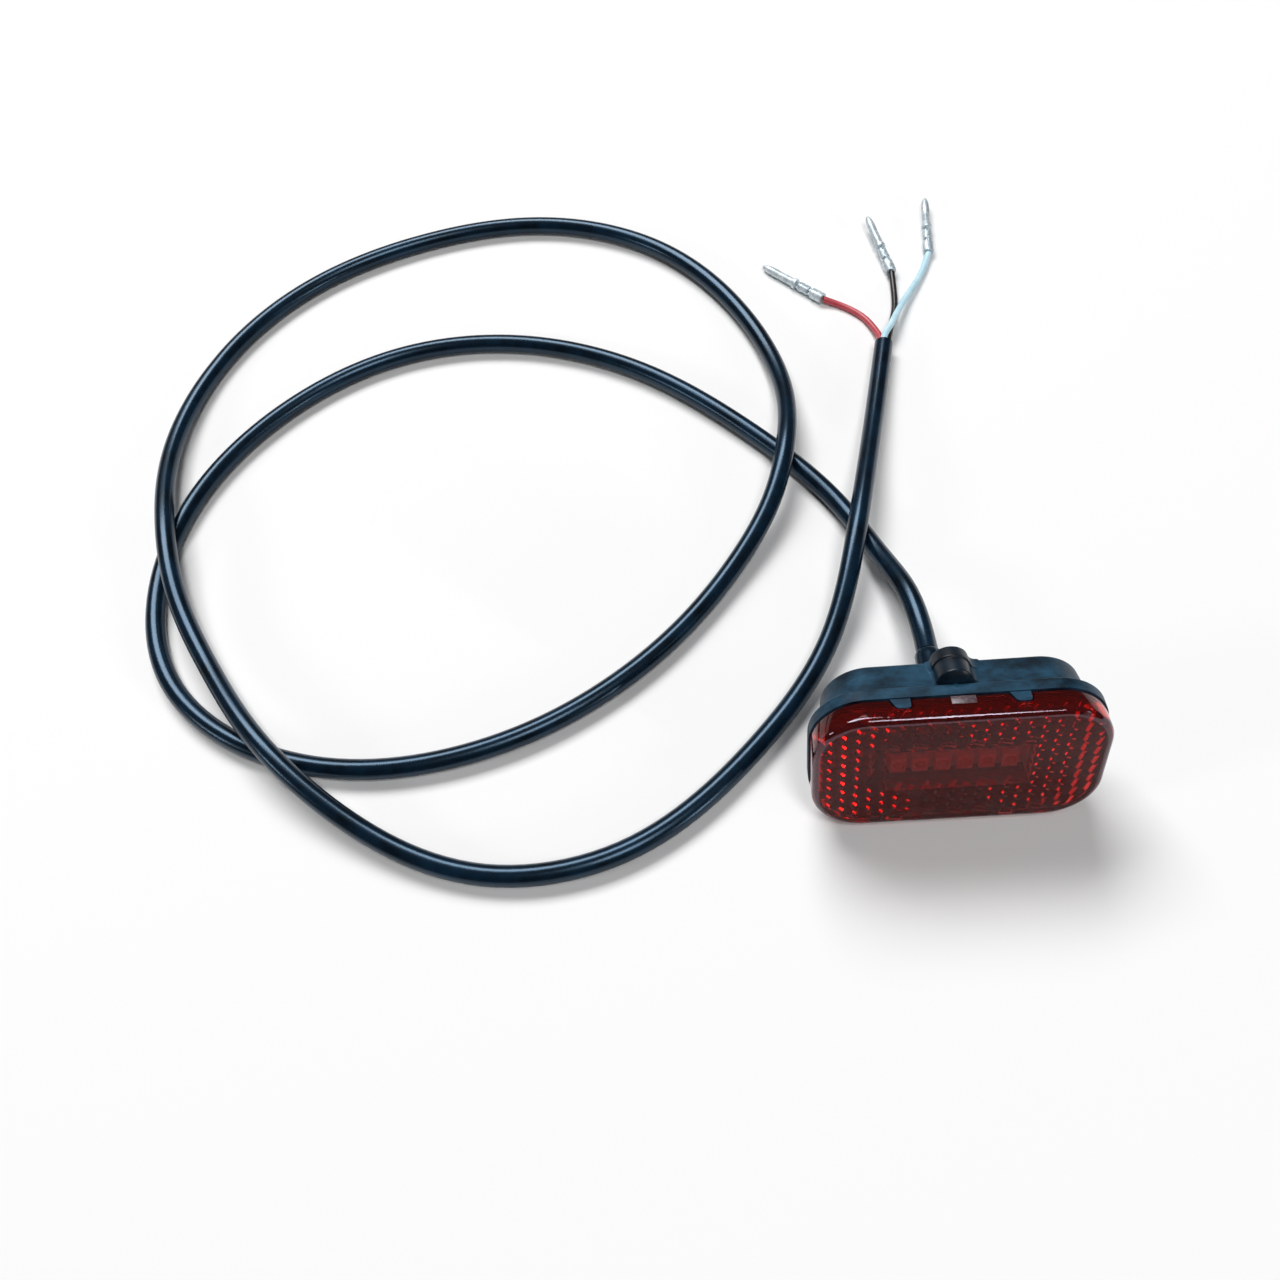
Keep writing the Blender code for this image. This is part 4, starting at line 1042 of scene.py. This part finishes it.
class TAILLAMP_OT_inside(bpy.types.Operator):
    """Adds the screen behind the prisms and the bare circuit board"""

    bl_idname = "taillamp.inside"
    bl_label = "Add Inside"

    def execute(self, context):
        screen = make_screen()
        finish_piece(screen, "black_abs", "inner_shade", screen_black(), box_white())
        # The window's walls are white inside, but its sill is left black: painted shade.
        paint(screen, 1, lambda face: abs(face.center.x) < WINDOW_WIDTH / 2 + CLOSE
              and WINDOW_LOW + CLOSE < face.center.z < WINDOW_HIGH + CLOSE
              and abs(face.normal.y) < 0.1)
        board = add_slab("board", BOARD_LOW, BOARD_HIGH, BOARD_CORNER)
        combine(board, "DIFFERENCE",
                *[add_rod("hole", SCREW_HOLE, 0, 4 * MM, side * SCREW_SPACING / 2)
                  for side in (-1, 1)])
        finish_piece(board, "white_solder_mask", "circuit_board", solder_mask())
        smooth(board)
        for piece in (screen, board):
            settle(piece)
        return {"FINISHED"}


class TAILLAMP_OT_electronics(bpy.types.Operator):
    """Adds the LEDs, resistors, rectifier and inner leads"""

    bl_idname = "taillamp.electronics"
    bl_label = "Add Electronics"

    def execute(self, context):
        rest = BOARD_LOW.y - GAP
        set_out_row(make_led(rest), "led", LED_COUNT, LED_PITCH)
        set_out_row(make_resistor(rest), "resistor", RESISTOR_COUNT, RESISTOR_PITCH)
        rectifier = make_rectifier(BOARD_HIGH.y + GAP)
        declare(rectifier, "rectifier")
        settle(rectifier)
        start = BOOT_LOW.y - GAP
        end = BOARD_HIGH.y + GAP
        for name, (pad_x, pad_z) in SOLDER_PADS.items():
            angle = math.radians(CORE_ROUTES[name][0])
            x, z = CORE_CIRCLE * math.cos(angle), CORE_CIRCLE * math.sin(angle)
            pad_x, pad_z = pad_x * MM, pad_z * MM
            points = [(x, start, z), (x, start - 0.5 * MM, z),
                      ((x + pad_x) / 2, (start + end) / 2, (z + pad_z) / 2),
                      (pad_x, end + 0.6 * MM, pad_z), (pad_x, end, pad_z)]
            points = smooth_path([(BOSS_OFFSET + px, py, pz) for px, py, pz in points], 0.4 * MM)
            lead = add_tube(f"inner_lead_{name}", points, CORE_DIAMETER / 2, 20)
            finish_piece(lead, f"{name}_core_pvc", f"lead_{name}", core_pvc(name))
            smooth(lead, 35)
            settle(lead)
        return {"FINISHED"}


def set_out_row(first, name, count, pitch):
    """Lays copies of a board part in a row along X, each with its own mesh."""
    for index in range(count):
        piece = first.copy()
        piece.data = first.data.copy()
        piece.name = piece.data.name = f"{name}_part_{index + 1}"
        bpy.context.collection.objects.link(piece)
        piece.data.transform(Matrix.Translation(((index - (count - 1) / 2) * pitch, 0, 0)))
        declare(piece, f"{name}_{index + 1}")
        settle(piece)
    bpy.data.objects.remove(first, do_unlink=True)


def make_led(rest):
    """A white package with a round cup, filled with pale yellow phosphor, and end terminals."""
    half = LED_SIZE / 2
    front = rest - LED_SIZE.y
    led = add_block("led", (-half.x, front, -LED_DROP - half.z),
                    (half.x, rest, -LED_DROP + half.z))
    soften(led, 0.12 * MM)
    cup = turned("cup", [(0.8 * MM, -0.56 * MM), (1.09 * MM, 0), (1.09 * MM, 1 * MM)], 32)
    cup.data.transform(aimed((0, front, -LED_DROP), (0, -1, 0)))
    combine(led, "DIFFERENCE", cup)
    fill = turned("fill", [(0.78 * MM, -0.55 * MM), (0.98 * MM, -0.16 * MM), (0.5 * MM, -0.08 * MM),
                           (0.1 * MM, -0.06 * MM)], 32)
    fill.data.transform(aimed((0, front, -LED_DROP), (0, -1, 0)))
    ends = [add_block("end", (-0.9 * MM, rest - 0.4 * MM, z - 0.3 * MM),
                      (0.9 * MM, rest - 0.01 * MM, z + 0.3 * MM))
            for z in (-LED_DROP - half.z + 0.22 * MM, -LED_DROP + half.z - 0.22 * MM)]
    return join_painted([package_white(), phosphor(), tinned_ends()], [led], [fill], ends)


def make_resistor(rest):
    """A black chip with tinned end caps."""
    half, middle = RESISTOR_SIZE / 2, RESISTOR_RISE
    chip = add_block("resistor", (-half.x + 0.4 * MM, rest - RESISTOR_SIZE.y, middle - half.z),
                     (half.x - 0.4 * MM, rest, middle + half.z))
    caps = [add_block("cap", (min(x, x + side * 0.5 * MM), rest - RESISTOR_SIZE.y - 0.03 * MM,
                              middle - half.z - 0.02 * MM),
                      (max(x, x + side * 0.5 * MM), rest, middle + half.z + 0.02 * MM))
            for side in (-1, 1) for x in (side * (half.x - 0.48 * MM),)]
    for cap in caps:
        soften(cap, 0.06 * MM)
    return join_painted([chip_black(), tinned_ends()], [chip], caps)


def make_rectifier(rest):
    """A black moulded body with four gull-wing terminals that reach down to the board."""
    half = RECTIFIER_SIZE / 2
    x, z = BOSS_OFFSET, -RECTIFIER_DROP
    body = add_block("rectifier_part", (x - half.x, rest, z - half.z),
                     (x + half.x, rest + RECTIFIER_SIZE.y, z + half.z))
    with edit_mode(body):
        pick(body, "faces", lambda f: f.normal.y > 0.9)
        bpy.ops.transform.resize(value=(0.93, 1, 0.88))
    soften(body, 0.1 * MM)
    ends = []
    for side, level in CORNERS:
        middle, width = z + level * 0.7 * MM, 0.35 * MM
        near = x + side * (half.x - 0.1 * MM)
        knee = x + side * (half.x + 0.45 * MM)
        inside = knee - side * 0.17 * MM
        toe = x + side * (half.x + 0.9 * MM)
        for start, end, low, high in (
            (near, knee - side * 0.05 * MM, 0.45, 0.61),
            (inside, knee, -0.1, 0.62),
            (inside, toe, -0.25, -0.08),
        ):
            ends.append(add_block("terminal", (min(start, end), rest + low * MM, middle - width),
                                  (max(start, end), rest + high * MM, middle + width)))
    return join_painted([chip_black(), tinned_ends()], [body], ends)


class TAILLAMP_OT_fasteners(bpy.types.Operator):
    """Adds the board's two screws and the brass inserts in the back"""

    bl_idname = "taillamp.fasteners"
    bl_label = "Add Fasteners"

    def execute(self, context):
        for side, word in ((-1, "left"), (1, "right")):
            screw = make_screw(f"cross_screw_{word}", side * SCREW_SPACING / 2)
            finish_piece(screw, "zinc_plated_steel", f"board_screw_{word}", plated_steel())
            insert = make_insert(f"knurled_insert_{word}", side * INSERT_SPACING / 2)
            finish_piece(insert, "brass", f"insert_nut_{word}", turned_brass())
            for piece in (screw, insert):
                smooth(piece)
                settle(piece)
        return {"FINISHED"}


def make_screw(name, x):
    """A pan-head screw with a cross recess and a ringed thread, pointing to the back."""
    head, shank = SCREW_HEAD / 2, SCREW_SHANK / 2
    rest = BOARD_LOW.y - GAP
    length = REAR_INNER - 1.3 * MM - rest
    root, rim, rings = shank * 0.8, 0.22 * MM, 8
    profile = [(shank * 0.3, -length)]
    for index in range(rings):
        place = -length + shank + index * (length - shank) / rings
        profile += [(root, place), (shank, place + 0.2 * MM)]
    profile += [(root, 0), (head, 0), (head, rim)]
    for step in range(1, 7):
        turn = math.radians(15 * step)
        profile.append((head * (0.25 + 0.75 * math.cos(turn)),
                        rim + (SCREW_HEAD_HEIGHT - rim) * math.sin(turn)))
    screw = turned(name, profile, 32)
    for half_x, half_y in ((0.16 * MM, 0.95 * MM), (0.95 * MM, 0.16 * MM)):
        combine(screw, "DIFFERENCE", add_block("arm", (-half_x, -half_y, 0.5 * MM),
                                               (half_x, half_y, 3 * MM)))
    screw.data.transform(aimed((x, rest, 0), (0, -1, 0)))
    return screw


def make_insert(name, x):
    """A blind insert: knurled in three bands, ring grooves between, threaded bore."""
    outer, bore, length = INSERT_DIAMETER / 2, INSERT_BORE / 2, INSERT_LENGTH
    groove = outer - 0.35 * MM
    profile = [(outer - 0.15 * MM, 0), (outer, 0.15 * MM)]
    for low, high in ((0.28, 0.36), (0.60, 0.68)):
        profile += [(outer, low * length), (groove, low * length),
                    (groove, high * length), (outer, high * length)]
    profile += [(outer, length - 0.12 * MM), (outer - 0.12 * MM, length),
                (bore + 0.3 * MM, length)]
    pitch = 0.7 * MM
    place = length - 0.25 * MM
    while place > 1.2 * MM:
        profile += [(bore, place), (bore + 0.28 * MM, place - pitch / 2)]
        place -= pitch
    teeth = 36
    insert = turned(name, [*profile, (bore, 0.8 * MM)], 2 * teeth)
    for vert in insert.data.vertices:
        if vert.co.xy.length > outer - 0.05 * MM:
            tooth = round(math.atan2(vert.co.y, vert.co.x) / math.radians(180 / teeth))
            if tooth % 2:
                vert.co.xy *= (outer - 0.2 * MM) / outer
    insert.data.transform(aimed((x, REAR_FACE - length, 0), (0, 1, 0)))
    return insert


def chip_black():
    """Epoxy moulding compound: flat black, fine grain."""
    return weathered("chip_epoxy", "#101114", "#1c1d21", 1, 0.1, 0.3, Roughness=0.55)


def package_white():
    """White reflector plastic of the LEDs, faintly yellowed."""
    return weathered("led_package_white", "#ddd6c6", "#ece8df", 1, 0.15, 0.1,
                     Roughness=0.4)


def phosphor():
    """Silicone with yellow phosphor, dull yellow while unlit, denser in places."""
    return weathered("led_phosphor", "#c9ac34", "#dfcb5a", 0.6, 0.1, 0.15,
                     Roughness=0.25)


def tinned_ends():
    """Solder-wetted terminals, bright with a slightly uneven skin."""
    return weathered("tinned_terminals", "#a9aba9", "#d0d2d0", 0.5, 0.15, 0.4,
                     Roughness=0.3, Metallic=1.0)


def plated_steel():
    """Zinc-plated steel, bright with a faint cloudy bloom."""
    return weathered("zinc_plate", "#9aa0a6", "#c2c6ca", 1.2, 0.1, 0.15,
                     Roughness=0.32, Metallic=1.0)


def turned_brass():
    """Free-cutting brass, turned, with a thin brown tarnish."""
    return weathered("turned_brass", "#a87c36", "#cfa352", 1.5, 0.12, 0.2,
                     Roughness=0.28, Metallic=1.0)


def screen_black():
    """Black screen behind the prisms: matt, so that the lens looks deep and dark."""
    return weathered("black_screen", "#1e1617", "#54403f", 1.5, 0.25, 0.3,
                     Roughness=0.6)


def box_white():
    """White walls of the light box round the LEDs, slightly satin."""
    return weathered("white_light_box", "#c8c2b6", "#dedad2", 3, 0.3, 0.2,
                     Roughness=0.5)


def solder_mask():
    """White solder mask: satin, a little browned by soldering heat."""
    return weathered("white_solder_mask", "#d2ccba", "#e2e2da", 5, 0.3, 0.1,
                     Roughness=0.35)


# ---------------------------------------------------------------- stage
CAMERA_PLACE = Vector((-0.04087, -0.0964, 0.2108))
CAMERA_AIM = Vector((-0.05615, 0.0338, 0))
CAMERA_ROLL = 0.1665
CAMERA_LENS = 33.95
LIGHT_AIM = Vector((-0.05, 0.05, 0))
# Name, place in metres, power in watts, width and height in metres
LIGHTS = [
    ("key", (-0.62, 1.55, 2.02), 64.0, (1.7, 0.9)),
    ("top_front", (0.40, -0.77, 2.12), 17.0, (0.46, 0.85)),
    ("low_strip", (0.7405, -0.6165, 0.252), 1.2, (0.012, 0.20)),
    ("low_right", (0.745, -0.61, 0.25), 0.11, (0.10, 0.12)),
    ("mid_right", (0.798, -0.346, 0.48), 0.25, (0.12, 0.12)),
    ("far_right", (0.657, -0.744, 0.257), 0.10, (0.09, 0.12)),
    ("left", (-1.17, -0.29, 0.47), 1.4, (0.22, 0.20)),
]


def pale_paper():
    """Matt paper: an even pale floor without gloss."""
    return new_material("pale_paper", "#f4f4f4", Roughness=0.9)[0]


def add_light(name, place, power, size):
    """A rectangular soft light that faces the lamp."""
    lamp = bpy.data.lights.new(name, "AREA")
    lamp.shape = "RECTANGLE"
    lamp.size, lamp.size_y = size
    lamp.energy = power
    light = bpy.data.objects.new(name, lamp)
    light.location = place
    light.rotation_euler = (LIGHT_AIM - light.location).to_track_quat("-Z", "Y").to_euler()
    bpy.context.scene.collection.objects.link(light)


def add_camera():
    """The camera, a little in front of the lamp and high above it, rolled to one side."""
    view = bpy.data.cameras.new("camera")
    view.lens = CAMERA_LENS
    view.sensor_width = 36
    view.clip_start = 0.01
    camera = bpy.data.objects.new("camera", view)
    camera.location = CAMERA_PLACE
    aim = (CAMERA_AIM - CAMERA_PLACE).to_track_quat("-Z", "Y")
    camera.rotation_mode = "QUATERNION"
    camera.rotation_quaternion = aim @ Quaternion((0, 0, 1), -CAMERA_ROLL)
    bpy.context.scene.collection.objects.link(camera)
    return camera


class TAILLAMP_OT_stage(bpy.types.Operator):
    """Adds the pale floor, the soft studio light and the camera"""

    bl_idname = "taillamp.stage"
    bl_label = "Add Stage"

    def execute(self, context):
        settings = context.scene.lamp_stage
        context.scene.view_settings.view_transform = "Standard"
        floor = add_shape(bpy.ops.mesh.primitive_plane_add, "floor", size=settings.floor_size)
        floor.data.materials.append(pale_paper())
        world = bpy.data.worlds.new("studio")
        context.scene.world = world
        world.use_nodes = True
        sky = world.node_tree.nodes["Background"]
        sky.inputs["Color"].default_value = linear("#ffffff")
        sky.inputs["Strength"].default_value = settings.sky
        for light in LIGHTS:
            add_light(*light)
        bpy.context.scene.camera = add_camera()
        return {"FINISHED"}


# ---------------------------------------------------------------- panel
class TAILLAMP_PT_panel(bpy.types.Panel):
    """Lists the lamp's pieces in the sidebar"""

    bl_idname = "TAILLAMP_PT_panel"
    bl_label = "Tail Lamp"
    bl_space_type = "VIEW_3D"
    bl_region_type = "UI"
    bl_category = "Tail Lamp"

    def draw(self, context):
        layout = self.layout
        for operator in OPERATORS:
            layout.operator(operator.bl_idname)


OPERATORS = [TAILLAMP_OT_stage, TAILLAMP_OT_lead, TAILLAMP_OT_lens, TAILLAMP_OT_housing,
             TAILLAMP_OT_inside, TAILLAMP_OT_electronics, TAILLAMP_OT_fasteners]
GROUPS = {"lamp_lens": LensSettings, "lamp_lead": LeadSettings, "lamp_stage": StageSettings}


def register():
    for made in [*GROUPS.values(), *OPERATORS, TAILLAMP_PT_panel]:
        bpy.utils.register_class(made)
    for name, group in GROUPS.items():
        setattr(bpy.types.Scene, name, bpy.props.PointerProperty(type=group))


def unregister():
    for name in GROUPS:
        delattr(bpy.types.Scene, name)
    for made in reversed([*GROUPS.values(), *OPERATORS, TAILLAMP_PT_panel]):
        bpy.utils.unregister_class(made)


def main():
    register()
    bpy.ops.taillamp.stage()
    bpy.ops.taillamp.lead()
    bpy.ops.taillamp.lens()
    bpy.ops.taillamp.housing()
    bpy.ops.taillamp.inside()
    bpy.ops.taillamp.electronics()
    bpy.ops.taillamp.fasteners()


if __name__ == "__main__":
    main()
